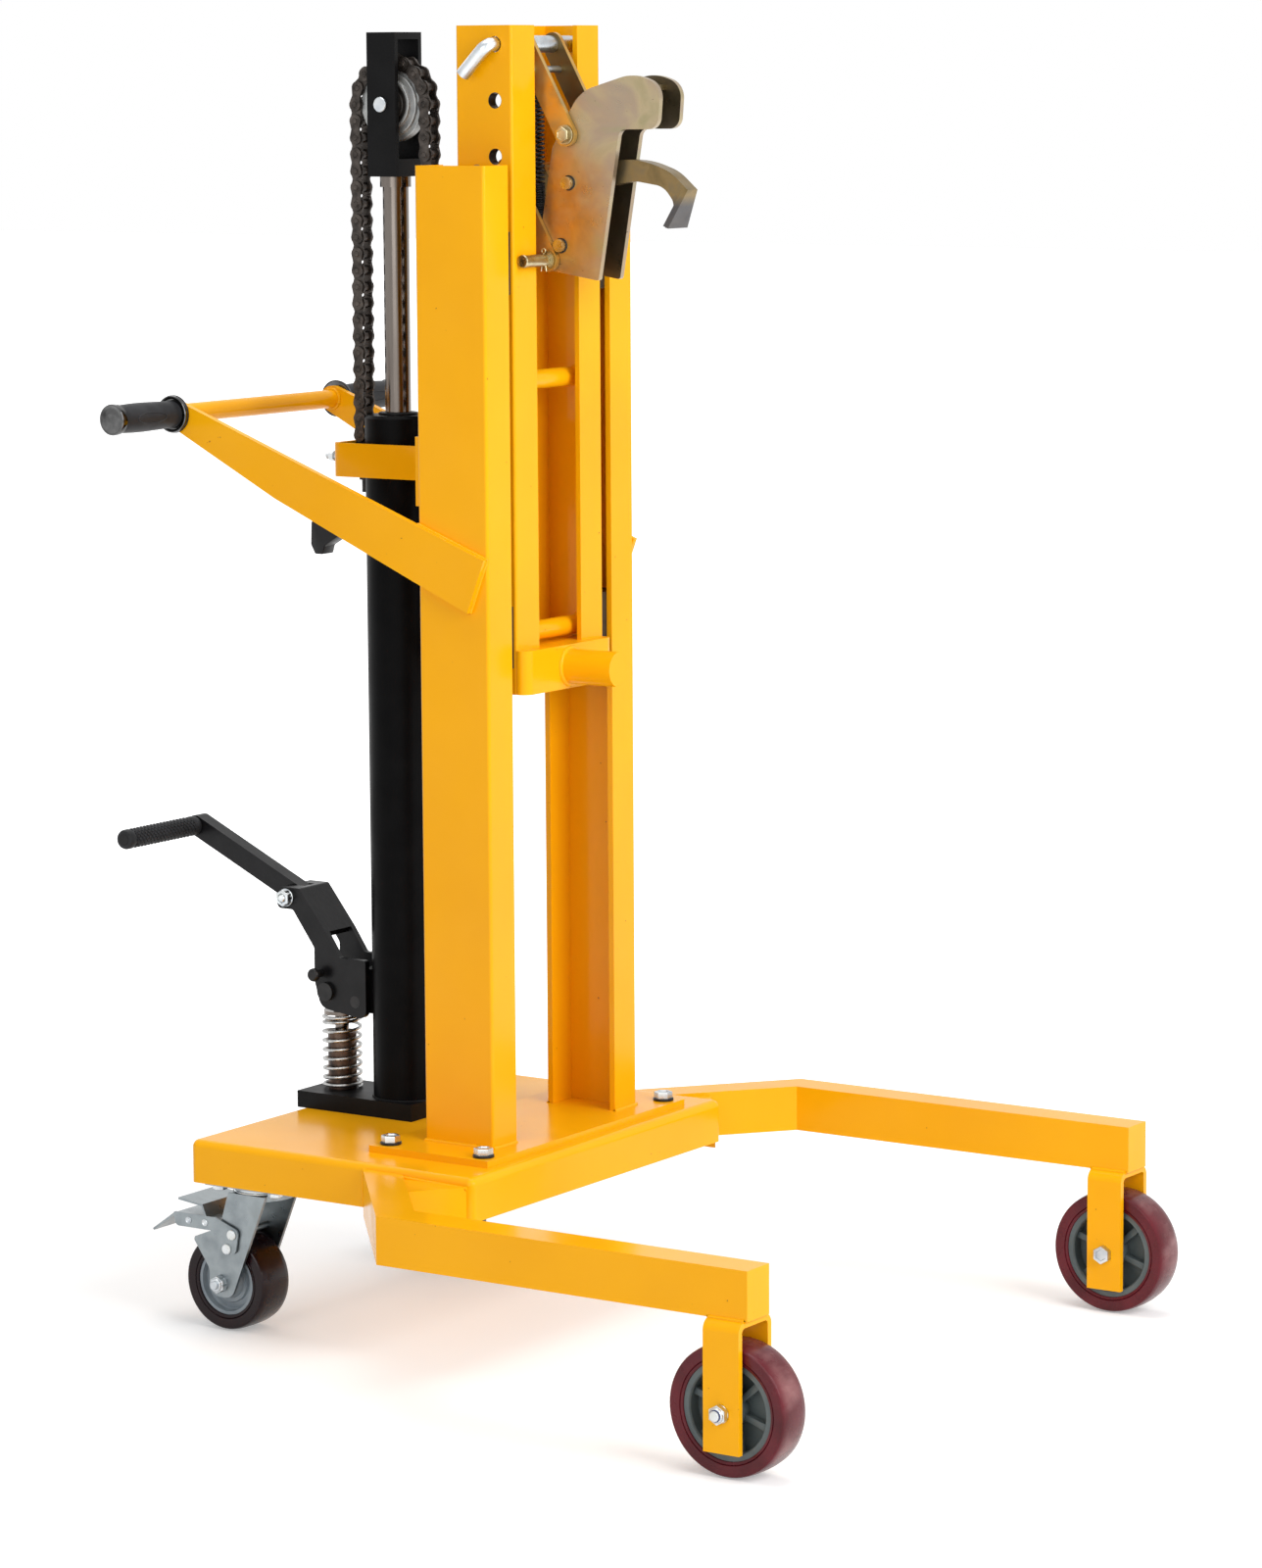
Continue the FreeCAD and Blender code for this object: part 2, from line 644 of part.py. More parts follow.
def front_wheel(side):
    place = V(WHEEL_X, side * LEG_Y, WHEEL_R)
    seat = WHEEL_R - WHEEL_TREAD
    hub = spoked_hub(seat, seat - WHEEL_RIM, WHEEL_W - WHEEL_TREAD / 2, WHEEL_BOSS_D / 2,
                     FORK_WIDTH - 2 * FORK_STEEL - 2 * GAP, AXLE_D / 2 + RUN, WHEEL_WEB, WHEEL_SPOKE,
                     WHEEL_SPOKES, place)
    return hub, tyre(WHEEL_R, seat + RUN, WHEEL_W, place)


def castor_wheel(side):
    place = V(CASTOR_AXLE_X, side * CASTOR_Y, CASTOR_R)
    seat = CASTOR_R - CASTOR_TREAD
    boss_width = 2 * (CASTOR_FORK_HALF - CASTOR_FORK_T - GAP)
    hub = spoked_hub(seat, seat - CASTOR_RIM, CASTOR_WHEEL_W - CASTOR_RIM, CASTOR_BOSS_D / 2, boss_width,
                     CASTOR_AXLE_D / 2 + RUN, CASTOR_WEB, WHEEL_SPOKE, WHEEL_SPOKES, place)
    return hub, tyre(CASTOR_R, seat + RUN, CASTOR_WHEEL_W, place)


# Rear castors

def castor_plate(side):
    """Top plate with the fixed race, king pin and its nut."""
    y = side * CASTOR_Y
    plate = box(span(CASTOR_X, CASTOR_PLATE_L), span(y, CASTOR_PLATE_W), PLATE_Z)
    race = rod_z(CASTOR_RACE_D / 2, CASTOR_X, y, RACE_Z)
    nut_z = (CROWN_Z[0] - GAP - CASTOR_KING_NUT_T, CROWN_Z[0] - GAP)
    king = rod_z(CASTOR_KING_D / 2, CASTOR_X, y, (nut_z[0], RACE_Z[0]))
    return fused(plate, race, king, rod_z(CASTOR_KING_NUT_D / 2, CASTOR_X, y, nut_z))


def castor_fork(side):
    """Swivel fork pressed from plate: round crown, two cheeks and the axle bolt with its nut."""
    y = side * CASTOR_Y
    crown_r = CASTOR_CROWN_D / 2
    crown = rod_z(crown_r, CASTOR_X, y, CROWN_Z)
    crown = crown.common(box(span(CASTOR_X, CASTOR_CROWN_D), span(y, 2 * CASTOR_FORK_HALF), CROWN_Z))
    cheek_top = crown_r * 3 / 4
    boss = CASTOR_BOSS_R
    corners = [
        (CASTOR_X - cheek_top, CROWN_Z[1], 0), (CASTOR_X + cheek_top, CROWN_Z[1], 0),
        (CASTOR_AXLE_X + boss, CASTOR_R - boss, boss * (1 - 2 * RUN)),
        (CASTOR_AXLE_X - boss, CASTOR_R - boss, boss * (1 - 2 * RUN)),
        (CASTOR_AXLE_X - boss, CASTOR_R + boss, boss),
        (CASTOR_AXLE_X - CASTOR_WING_BACK, CASTOR_WING_UP, boss / 4),
        (CASTOR_AXLE_X, CASTOR_WING_UP + boss, boss),
    ]
    shapes = []
    for way in (1, -1):
        cheek_y = sorted((y + way * CASTOR_FORK_HALF, y + way * (CASTOR_FORK_HALF - CASTOR_FORK_T)))
        shapes.append(plate_xz(corners, cheek_y))
    fork = fused(crown, *shapes)
    fork = fork.cut(rod_z(CASTOR_KING_D / 2 + RUN, CASTOR_X, y, CROWN_Z))
    wide = span(y, 2 * CASTOR_FORK_HALF + OVERRUN)
    fork = fork.cut(rod_y(CASTOR_AXLE_D / 2 + RUN, CASTOR_AXLE_X, wide, CASTOR_R))
    fork = fork.cut(rod_y(BRAKE_PIN_D / 2 + RUN, CASTOR_X - BRAKE_PIN_BACK, wide, BRAKE_LOW + BRAKE_PIN_UP))
    half = CASTOR_FORK_HALF + GAP
    axle = rod_y(CASTOR_AXLE_D / 2, CASTOR_AXLE_X, span(y, 2 * half + CASTOR_NUT_T), CASTOR_R)
    ends = []
    for way in (1, -1):
        seat = V(CASTOR_AXLE_X, y + way * half, CASTOR_R)
        ends.append(hexagon(CASTOR_NUT_AF, seat, V(0, way, 0), CASTOR_NUT_T))
    return group(fork, fused(axle, *ends))


def brake(side):
    """Brake pedal: bent cover strip and release tab between two cheeks, on a pin through the fork."""
    y = side * CASTOR_Y
    low = (CASTOR_X - BRAKE_BACK, BRAKE_LOW)
    wide = span(y, 2 * BRAKE_HALF)
    shapes = [rod_y(BRAKE_PIN_D / 2, CASTOR_X - BRAKE_PIN_BACK, wide, BRAKE_LOW + BRAKE_PIN_UP)]
    for way in (1, -1):
        cheek_y = sorted((y + way * BRAKE_HALF, y + way * (BRAKE_HALF - BRAKE_STEEL)))
        shapes.append(plate_xz(from_shares(BRAKE_CHEEK_SHARES, low, BRAKE_LONG, BRAKE_TALL), cheek_y))
    for shares in (BRAKE_COVER_SHARES, BRAKE_TAB_SHARES):
        line = [V(low[0] + u * BRAKE_LONG, low[1] + v * BRAKE_TALL, 0) for u, v in shares]
        shapes.append(plate_xz(strip_outline(line, BRAKE_STEEL), wide))
    return fused(*shapes)


# Mast, base plate, handles

def base_bolt_places():
    xs = (MAST_X - BASE_BACK + BASE_BOLT_INSET, MAST_X + BASE_AHEAD - BASE_BOLT_INSET)
    ys = (BASE_HALF - BASE_BOLT_INSET, BASE_BOLT_INSET - BASE_HALF)
    return [(x, y) for x in xs for y in ys]


def base_plate():
    plate = box((MAST_X - BASE_BACK, MAST_X + BASE_AHEAD), span(0, 2 * BASE_HALF), BASE_Z)
    for x, y in base_bolt_places():
        plate = plate.cut(rod_z(BASE_BOLT_D / 2 + HOLE_PLAY, x, y, (BASE_Z[0] - OVERRUN, BASE_Z[1] + OVERRUN)))
    return plate


def frame_bolts():
    bolts = []
    for x, y in base_bolt_places():
        seat = BASE_Z[1]
        washer = rod_z(WASHER_D / 2, x, y, (seat, seat + WASHER_T))
        head = hexagon(BOLT_HEAD_AF, V(x, y, seat + WASHER_T), V(0, 0, 1), BOLT_HEAD_T)
        shank = rod_z(BASE_BOLT_D / 2, x, y, (DECK_Z[1] - DECK_STEEL - BOLT_HEAD_T - GAP, seat))
        under = DECK_Z[1] - DECK_STEEL
        nut = hexagon(BOLT_HEAD_AF, V(x, y, under - BOLT_HEAD_T), V(0, 0, 1), BOLT_HEAD_T)
        bolts.append(fused(washer, head, shank, nut))
    return group(*bolts)


def channel(x, half, flange, steel, z):
    """Channel on the +Y side that opens towards the middle, with rounded outer bends."""
    outer = box(x, (half - flange, half), z)
    bends = [e for e in outer.Edges if e.CenterOfMass.y > half - steel and abs(e.tangentAt(0).z) > 1 / 2]
    outer = outer.makeFillet(steel / 2, bends)
    return outer.cut(box((x[0] + steel, x[1] - steel), (half - flange - OVERRUN, half - steel), z))


def mast_tie():
    """Plate across the back of both mast channels that carries the cylinder strap."""
    tall = STRAP_TALL * 2
    z = span(STRAP_Z + STRAP_TALL / 2, tall)
    return box((MAST_BOX_X[0] - TIE_T, MAST_BOX_X[0]), span(0, 2 * (MAST_HALF - MAST_STEEL)), z)


def handle_arm():
    eye = HANDLE_EYE / 2
    slope = (HANDLE_Z + eye - HANDLE_FOOT_Z) / (MAST_BOX_X[1] - HANDLE_X)
    fall = math.atan(slope)
    foot_top = (MAST_BOX_X[1], HANDLE_FOOT_Z)
    foot_low_x = foot_top[0] - HANDLE_FOOT_TALL * math.sin(fall)
    foot_low_z = foot_top[1] - HANDLE_FOOT_TALL * math.cos(fall)
    kink_x = MAST_X - HANDLE_KINK_BACK
    kink_z = HANDLE_FOOT_Z + (MAST_BOX_X[1] - kink_x) * slope - HANDLE_KINK_TALL
    corners = [
        (foot_top[0], foot_top[1], 0), (HANDLE_X - eye, HANDLE_Z + eye + eye * slope, eye),
        (HANDLE_X - eye, HANDLE_Z - eye / 2, eye / 2),
        (kink_x, kink_z, HANDLE_EYE), (foot_low_x, foot_low_z, 0),
    ]
    arm = plate_xz(corners, (MAST_HALF, MAST_HALF + HANDLE_T))
    wide = (MAST_HALF - OVERRUN, MAST_HALF + HANDLE_T + OVERRUN)
    return arm.cut(rod_y(HANDLE_BAR_D / 2 + RUN, HANDLE_X, wide, HANDLE_Z))


def handle_bar():
    half = MAST_HALF + HANDLE_T + RING_T + GRIP_LONG
    outer = rod_y(HANDLE_BAR_D / 2, HANDLE_X, (-half, half), HANDLE_Z)
    return outer.cut(rod_y(HANDLE_BAR_D / 2 - HANDLE_BAR_WALL, HANDLE_X, (-half, half), HANDLE_Z))


def hand_grip():
    """Rubber grip, a little barrelled, over the end of the handle tube."""
    start = MAST_HALF + HANDLE_T + RING_T
    radius = GRIP_D / 2
    bore = HANDLE_BAR_D / 2 + RUN
    neck = radius * 7 / 8
    middle = V(radius, start + GRIP_LONG / 2, 0)
    low = V(neck, start, 0)
    high = V(neck, start + GRIP_LONG, 0)
    inner_low = V(bore, start, 0)
    inner_high = V(bore, start + GRIP_LONG, 0)
    edges = [
        Part.Arc(low, middle, high).toShape(), Part.LineSegment(high, inner_high).toShape(),
        Part.LineSegment(inner_high, inner_low).toShape(), Part.LineSegment(inner_low, low).toShape(),
    ]
    grip = Part.Face(Part.Wire(edges)).revolve(V(0, 0, 0), V(0, 1, 0), 360)
    grip.translate(V(HANDLE_X, 0, HANDLE_Z))
    return grip


def grip_trim():
    """Chrome ring against the arm and chrome cap on the end of the grip."""
    start = MAST_HALF + HANDLE_T
    ring = rod_y(RING_D / 2, HANDLE_X, (start, start + RING_T), HANDLE_Z)
    ring = ring.cut(rod_y(HANDLE_BAR_D / 2 + RUN, HANDLE_X, (start, start + RING_T), HANDLE_Z))
    end = start + RING_T + GRIP_LONG
    cap = rod_y(CAP_D / 2, HANDLE_X, (end, end + CAP_T), HANDLE_Z)
    rim = [e for e in cap.Edges if e.CenterOfMass.y > end + CAP_T / 2 and e.Closed]
    return group(ring, cap.makeFillet(CAP_T / 2, rim))


# Hydraulic unit

def pump_block():
    return box((MAST_X - PUMP_BLOCK_BACK, MAST_X - PUMP_BLOCK_AHEAD), span(0, 2 * PUMP_BLOCK_HALF),
               (DECK_TOP, BLOCK_TOP))


def cylinder_tube():
    """Cylinder with the welded lug of the pump lever and the lug of the release lever."""
    wall = rod_z(CYLINDER_D / 2, CYLINDER_X, 0, TUBE_Z)
    lug_z = (LEVER_PIVOT_Z - LEVER_LUG_R, LEVER_PIVOT_Z + LEVER_LUG_RISE)
    lug_back = LEVER_X - LEVER_LUG_R
    corners = [
        (CYLINDER_X, lug_z[0], 0), (CYLINDER_X, lug_z[1], 0), (LEVER_X, lug_z[1], LEVER_LUG_R),
        (lug_back, lug_z[0] + 2 * LEVER_LUG_R, LEVER_LUG_R), (lug_back, lug_z[0], LEVER_LUG_R * (1 - RUN)),
    ]
    lug = plate_xz(corners, span(0, 2 * LEVER_LUG_HALF))
    catch = plate_xz(bar_outline((CYLINDER_X, RELEASE_Z), (RELEASE_X, RELEASE_Z), RELEASE_LUG_LONG / 3),
                     span(0, 2 * RELEASE_LUG_HALF))
    body = fused(wall, lug, catch)
    body = body.cut(rod_z(CYLINDER_BORE / 2, CYLINDER_X, 0, TUBE_Z))
    body = body.cut(rod_y(LEVER_PIN_D / 2 + RUN, LEVER_X, span(0, 4 * LEVER_LUG_HALF), LEVER_PIVOT_Z))
    return body.cut(rod_y(RELEASE_PIN_D / 2 + RUN, RELEASE_X, span(0, 4 * RELEASE_LUG_HALF), RELEASE_Z))


def cylinder_gland():
    gland = rod_z(GLAND_D / 2, CYLINDER_X, 0, GLAND_Z)
    rim = [e for e in gland.Edges if e.Closed and e.CenterOfMass.z > GLAND_Z[0] + GLAND_TALL / 2]
    gland = gland.makeChamfer(GLAND_TALL / 8, rim)
    return gland.cut(rod_z(ROD_D / 2 + RUN, CYLINDER_X, 0, GLAND_Z))


def ram_rod():
    """Ram with its piston below and the collar under the sheave bracket."""
    foot = GLAND_Z[1] - ROD_HIDDEN
    shaft = rod_z(ROD_D / 2, CYLINDER_X, 0, (foot, BRACKET_Z[0]))
    piston = rod_z(CYLINDER_BORE / 2 - RUN, CYLINDER_X, 0, (foot, foot + PISTON_TALL))
    collar = rod_z(COLLAR_D / 2, CYLINDER_X, 0, (BRACKET_Z[0] - COLLAR_TALL, BRACKET_Z[0]))
    return fused(shaft, piston, collar)


def sheave_bracket():
    """Closed loop of plate round the sheave on a thick foot."""
    x = span(CYLINDER_X, BRACKET_DEEP)
    outer = box(x, span(0, BRACKET_WIDE), BRACKET_Z)
    inner_z = (BRACKET_Z[0] + BRACKET_FOOT, BRACKET_Z[1] - BRACKET_TOP)
    loop = outer.cut(box((x[0] - OVERRUN, x[1] + OVERRUN), span(0, BRACKET_WIDE - 2 * BRACKET_WALL), inner_z))
    return loop.cut(rod_y(SHEAVE_PIN_D / 2 + RUN, CYLINDER_X, span(0, BRACKET_WIDE + OVERRUN), SHEAVE_Z))


def sheave_pin():
    half = BRACKET_HALF + SHEAVE_PIN_PROUD
    return rod_y(SHEAVE_PIN_D / 2, CYLINDER_X, (-half, half), SHEAVE_Z)


def sheave():
    rim = SHEAVE_R - CHAIN_ROLLER_D / 2 - GAP
    wheel = rod_y(rim, CYLINDER_X, span(0, SHEAVE_RIM_W), SHEAVE_Z)
    hub_half = BRACKET_HALF - BRACKET_WALL - GAP
    wheel = wheel.fuse(rod_y(SHEAVE_HUB_D / 2, CYLINDER_X, (-hub_half, hub_half), SHEAVE_Z))
    return wheel.cut(rod_y(SHEAVE_PIN_D / 2 + RUN, CYLINDER_X, (-hub_half, hub_half), SHEAVE_Z))


# Chain

def chain_plate(height, y):
    """Link plate along +Z from the origin, with rounded ends and a waist."""
    r = height / 2
    waist = r * CHAIN_WAIST_SHARE
    slant = r * math.sin(math.pi / 4)
    flat = r * math.cos(math.pi / 4)
    end = CHAIN_PITCH
    half_outline = [(0, r), (-slant, flat), (-slant, -flat), (0, -r), (end / 2, -waist)]
    outline = half_outline + [(end - u, -v) for u, v in half_outline]
    points = [V(v, y[0], u) for u, v in outline]
    return Part.Face(Part.makePolygon(points + points[:1])).extrude(V(0, y[1] - y[0], 0))


def inner_link():
    half = CHAIN_INNER_W / 2
    plates = [chain_plate(CHAIN_INNER_H, (half, half + CHAIN_PLATE_T)),
              chain_plate(CHAIN_INNER_H, (-half - CHAIN_PLATE_T, -half))]
    rollers = [rod_y(CHAIN_ROLLER_D / 2, 0, (-half, half), z) for z in (0, CHAIN_PITCH)]
    return fused(*plates, *rollers)


def outer_link():
    near = CHAIN_INNER_W / 2 + CHAIN_PLATE_T + LINK_PLAY
    return group(chain_plate(CHAIN_OUTER_H, (near, near + CHAIN_PLATE_T)),
                 chain_plate(CHAIN_OUTER_H, (-near - CHAIN_PLATE_T, -near)))


def chain_pins():
    """Centres of all chain pins, from the strap over the sheave down to the carriage."""
    pins = [V(CHAIN_BACK_X, 0, ANCHOR_Z + i * CHAIN_PITCH) for i in range(CHAIN_REAR_LINKS)]
    for i in range(CHAIN_WRAP_LINKS):
        angle = math.pi - i * math.pi / CHAIN_WRAP_LINKS
        pins.append(V(CYLINDER_X + SHEAVE_R * math.cos(angle), 0, SHEAVE_Z + SHEAVE_R * math.sin(angle)))
    pins += [V(CHAIN_FRONT_X, 0, SHEAVE_Z - i * CHAIN_PITCH) for i in range(CHAIN_FRONT_LINKS + 1)]
    return pins


def chain_run(first, last):
    """Links first to last of the chain: even ones have outer plates, odd ones inner plates and rollers."""
    pins = chain_pins()
    links = []
    kinds = (outer_link(), inner_link())
    for i in range(first, last):
        way = pins[i + 1] - pins[i]
        link = kinds[i % 2].copy()
        link.rotate(V(0, 0, 0), V(0, 1, 0), math.degrees(math.atan2(way.x, way.z)))
        link.translate(pins[i])
        links += link.Solids
    return group(*links)


def chain_anchor():
    """Stud with a flat tongue for the last link, held by a nut above and below the strap's shelf."""
    shelf = (STRAP_Z, STRAP_Z + STRAP_SHELF_T)
    tongue_half = CHAIN_OUTER_H / 2
    tongue_low = ANCHOR_Z - CHAIN_OUTER_H
    tongue = box(span(CHAIN_BACK_X, CHAIN_OUTER_H), span(0, TONGUE_W), (tongue_low, ANCHOR_Z + tongue_half))
    stud = rod_z(STUD_D / 2, CHAIN_BACK_X, 0, (shelf[1] - STUD_TAIL, tongue_low + OVERRUN))
    over = hexagon(STUD_NUT_AF, V(CHAIN_BACK_X, 0, shelf[1]), V(0, 0, 1), STUD_NUT_T)
    under = hexagon(STUD_NUT_AF, V(CHAIN_BACK_X, 0, shelf[0] - STUD_NUT_T), V(0, 0, 1), STUD_NUT_T)
    return fused(stud, tongue, over, under)


def cylinder_strap():
    """Flat bar bent round the back of the cylinder, with the shelf for the chain stud and its set bolt."""
    back = MAST_X - STRAP_BACK
    front = MAST_BOX_X[0] - TIE_T
    inner = STRAP_HALF - STRAP_T
    corners = [
        (front, STRAP_HALF, 0), (back, STRAP_HALF, STRAP_BEND), (back, -STRAP_HALF, STRAP_BEND),
        (front, -STRAP_HALF, 0), (front, -inner, 0), (back + STRAP_T, -inner, STRAP_BEND - STRAP_T),
        (back + STRAP_T, inner, STRAP_BEND - STRAP_T), (front, inner, 0),
    ]
    z = (STRAP_Z, STRAP_Z + STRAP_TALL)
    strap = plate_xy(corners, z)
    shelf = box((back + STRAP_T / 2, CYLINDER_X), span(0, 2 * inner), (z[0], z[0] + STRAP_SHELF_T))
    shelf = shelf.cut(rod_z(CYLINDER_D / 2 + GAP, CYLINDER_X, 0, z))
    bolt = rod_x(STRAP_BOLT_D / 2, (back - STRAP_BOLT_LONG, back), 0, STRAP_Z + STRAP_TALL / 2)
    strap = fused(strap, shelf, bolt)
    return strap.cut(rod_z(STUD_D / 2 + RUN, CHAIN_BACK_X, 0, z))


# Foot pump

def pump_barrel():
    z = (BLOCK_TOP, BLOCK_TOP + BARREL_TALL)
    barrel = rod_z(BARREL_D / 2, PUMP_X, 0, z)
    return barrel.cut(rod_z(PLUNGER_D / 2 + RUN, PUMP_X, 0, z))


def plunger():
    shaft = rod_z(PLUNGER_D / 2, PUMP_X, 0, (SPRING_TOP - BARREL_TALL + PLUNGER_SUNK / 2, SPRING_TOP))
    seat = rod_z((SPRING_OD - SPRING_WIRE / 2) / 2, PUMP_X, 0, (SPRING_TOP, SPRING_TOP + SPRING_SEAT_T))
    neck = rod_z(PLUNGER_NECK_D / 2, PUMP_X, 0, (SPRING_TOP, PLUNGER_TOP))
    return fused(shaft, seat, neck)


def pump_spring():
    radius = (SPRING_OD - SPRING_WIRE) / 2
    foot = V(PUMP_X, 0, BLOCK_TOP + SPRING_WIRE / 2 + GAP)
    arcs = coil(radius, SPRING_WIRE, SPRING_TALL - SPRING_WIRE - 2 * GAP, SPRING_TURNS, foot)[1]
    return wire_form(arcs, SPRING_WIRE)


def lever_casting():
    """Cast lever: two cheeks joined by a web at the top, with a slot for the pedal arm."""
    low = (PEDAL_BOLT_X - PEDAL_ARM_TALL / 2 - OVERRUN, PEDAL_BOLT_Z + PEDAL_ARM_TALL / 2 - LEVER_TALL)
    corners = from_shares(LEVER_SHARES, low, LEVER_LONG, LEVER_TALL)
    body = plate_xz(corners, (-LEVER_HALF, LEVER_HALF))
    hollow_half = LEVER_HALF - LEVER_CHEEK
    top = corners[1]
    mid = corners[2]
    web = LEVER_CHEEK * 3 / 2
    front = low[0] + LEVER_LONG + OVERRUN
    hollow = [
        (top[0], top[1] - 2 * web, 0), (mid[0] - web / 2, mid[1] - web / 2, 0), (mid[0], mid[1] + OVERRUN, 0),
        (front, mid[1] + OVERRUN, 0), (front, low[1] - OVERRUN, 0),
        (low[0], low[1] - OVERRUN, 0), (low[0], top[1] - 4 * web, 0),
    ]
    body = body.cut(plate_xz(hollow, (-hollow_half, hollow_half)))
    slot_x = (low[0] - OVERRUN, PEDAL_BOLT_X + PEDAL_ARM_TALL / 2 + 2 * GAP)
    slot_z = (low[1], top[1] + OVERRUN)
    body = body.cut(box(slot_x, span(0, PEDAL_ARM_T + 2 * GAP), slot_z))
    wide = span(0, 2 * LEVER_HALF + OVERRUN)
    body = body.cut(rod_y(LEVER_PIN_D / 2 + RUN, LEVER_X, wide, LEVER_PIVOT_Z))
    body = body.cut(rod_y(LEVER_ROLLER_PIN_D / 2 + RUN, PUMP_X, wide, ROLLER_Z))
    near = (-LEVER_HALF - OVERRUN, 0)
    body = body.cut(rod_y(STOP_PIN_D / 2 + RUN, MAST_X - STOP_PIN_BACK, near, LEVER_PIVOT_Z + STOP_PIN_RISE))
    return body.cut(rod_y(PEDAL_BOLT_D / 2 + RUN, PEDAL_BOLT_X, wide, PEDAL_BOLT_Z))


def headed_pin(diameter, head_d, half, x, z):
    """Pin along Y with a flat head on each end, outside the faces that it joins."""
    pin = rod_y(diameter / 2, x, (-half, half), z)
    ends = []
    for way in (1, -1):
        head_y = sorted((way * half, way * (half + LEVER_HEAD_T)))
        ends.append(rod_y(head_d / 2, x, head_y, z))
    return fused(pin, *ends)


def lever_pins():
    """Flush pivot pin, roller on its headed pin, stop pin with a mushroom head, and the pedal bolt."""
    half = LEVER_HALF + GAP / 2
    pivot = rod_y(LEVER_PIN_D / 2, LEVER_X, (-LEVER_HALF, LEVER_HALF), LEVER_PIVOT_Z)
    roller_pin = headed_pin(LEVER_ROLLER_PIN_D, LEVER_HEAD_D, half, PUMP_X, ROLLER_Z)
    stop_x = MAST_X - STOP_PIN_BACK
    stop_z = LEVER_PIVOT_Z + STOP_PIN_RISE
    stop_out = -LEVER_HALF - STOP_PIN_PROUD
    stop = rod_y(STOP_PIN_D / 2, stop_x, (stop_out, LEVER_CHEEK - LEVER_HALF), stop_z)
    knob = rod_y(STOP_HEAD_D / 2, stop_x, (stop_out - STOP_HEAD_T, stop_out), stop_z)
    rim = [e for e in knob.Edges if e.Closed and e.CenterOfMass.y < stop_out - STOP_HEAD_T / 2]
    knob = knob.makeFillet(STOP_HEAD_T * 2 / 3, rim)
    roller = rod_y(LEVER_ROLLER_D / 2, PUMP_X, span(0, LEVER_ROLLER_W), ROLLER_Z)
    bolt = rod_y(PEDAL_BOLT_D / 2, PEDAL_BOLT_X, (-half, half), PEDAL_BOLT_Z)
    ends = []
    for way in (1, -1):
        ends.append(hexagon(PEDAL_NUT_AF, V(PEDAL_BOLT_X, way * half, PEDAL_BOLT_Z), V(0, way, 0), PEDAL_NUT_T))
    return group(pivot, fused(roller_pin, roller), fused(stop, knob), fused(bolt, *ends))


def pedal_arm():
    """Flat bar from the lever's ears to the pedal, with the rod of the pedal grip."""
    start = V(PEDAL_BOLT_X, PEDAL_BOLT_Z, 0)
    end = V(PEDAL_X, PEDAL_Z, 0)
    corners = bar_outline((start.x, start.y), (end.x, end.y), PEDAL_ARM_TALL / 2)
    bar = plate_xz(corners, span(0, PEDAL_ARM_T))
    reach = PEDAL_ARM_T / 2 + PEDAL_GRIP_LONG
    bar = fused(bar, rod_y(PEDAL_ROD_D / 2, PEDAL_X, (-reach, 0), PEDAL_Z))
    return bar.cut(rod_y(PEDAL_BOLT_D / 2 + RUN, PEDAL_BOLT_X, span(0, 2 * PEDAL_ARM_T), PEDAL_BOLT_Z))


def pedal_grip():
    near = -PEDAL_ARM_T / 2 - GAP
    far = near - PEDAL_GRIP_LONG
    grip = rod_y(PEDAL_GRIP_D / 2, PEDAL_X, (far, near), PEDAL_Z)
    ends = [e for e in grip.Edges if e.Closed]
    grip = grip.makeFillet(PEDAL_GRIP_D / 8, ends)
    return grip.cut(rod_y(PEDAL_ROD_D / 2 + RUN, PEDAL_X, (-PEDAL_ARM_T / 2 - PEDAL_GRIP_LONG, 0), PEDAL_Z))


def release_lever():
    """Forked hand lever that hangs on the cylinder's lug."""
    low = (RELEASE_X - RELEASE_LONG * 5 / 6, RELEASE_Z - RELEASE_TALL * 7 / 8)
    body = plate_xz(from_shares(RELEASE_SHARES, low, RELEASE_LONG, RELEASE_TALL), span(0, 2 * RELEASE_T))
    room = RELEASE_LUG_LONG / 2
    slot = box((RELEASE_X - room, RELEASE_X + RELEASE_LUG_LONG), span(0, 2 * (RELEASE_LUG_HALF + GAP)),
               span(RELEASE_Z, 2 * room))
    body = body.cut(slot)
    pin = rod_y(RELEASE_PIN_D / 2, RELEASE_X, span(0, 2 * RELEASE_T), RELEASE_Z)
    return fused(body, pin)


# Carriage

def carriage_upright():
    upright = channel(CARRIAGE_X, CARRIAGE_HALF, CARRIAGE_FLANGE, CARRIAGE_STEEL, CARRIAGE_Z)
    web = (CARRIAGE_HALF - CARRIAGE_STEEL - OVERRUN, CARRIAGE_HALF + OVERRUN)
    for i in range(PIN_HOLES):
        upright = upright.cut(rod_y(PIN_HOLE_D / 2, PIN_X, web, PIN_Z - i * PIN_HOLE_PITCH))
    return upright.cut(rod_y(LOWER_PIN_D / 2 + RUN, LINK_D[0], web, LINK_D[1]))


def carriage_bars():
    """Round cross bars between the carriage channels, and the thin bar that holds the spring."""
    half = CARRIAGE_HALF - CARRIAGE_STEEL
    bars = [rod_y(BAR_D / 2, MAST_X + BAR_AHEAD, (-half, half), CARRIAGE_Z[0] + up) for up in BAR_HEIGHTS]
    x = MAST_X + PULL_SPRING_AHEAD + PULL_SPRING_OD / 2 - PULL_SPRING_WIRE - SPRING_BAR_D / 2 - GAP
    bars.append(rod_y(SPRING_BAR_D / 2, x, (-half, half), PULL_SPRING_LOW - PULL_LEG / 2))
    return group(*bars)


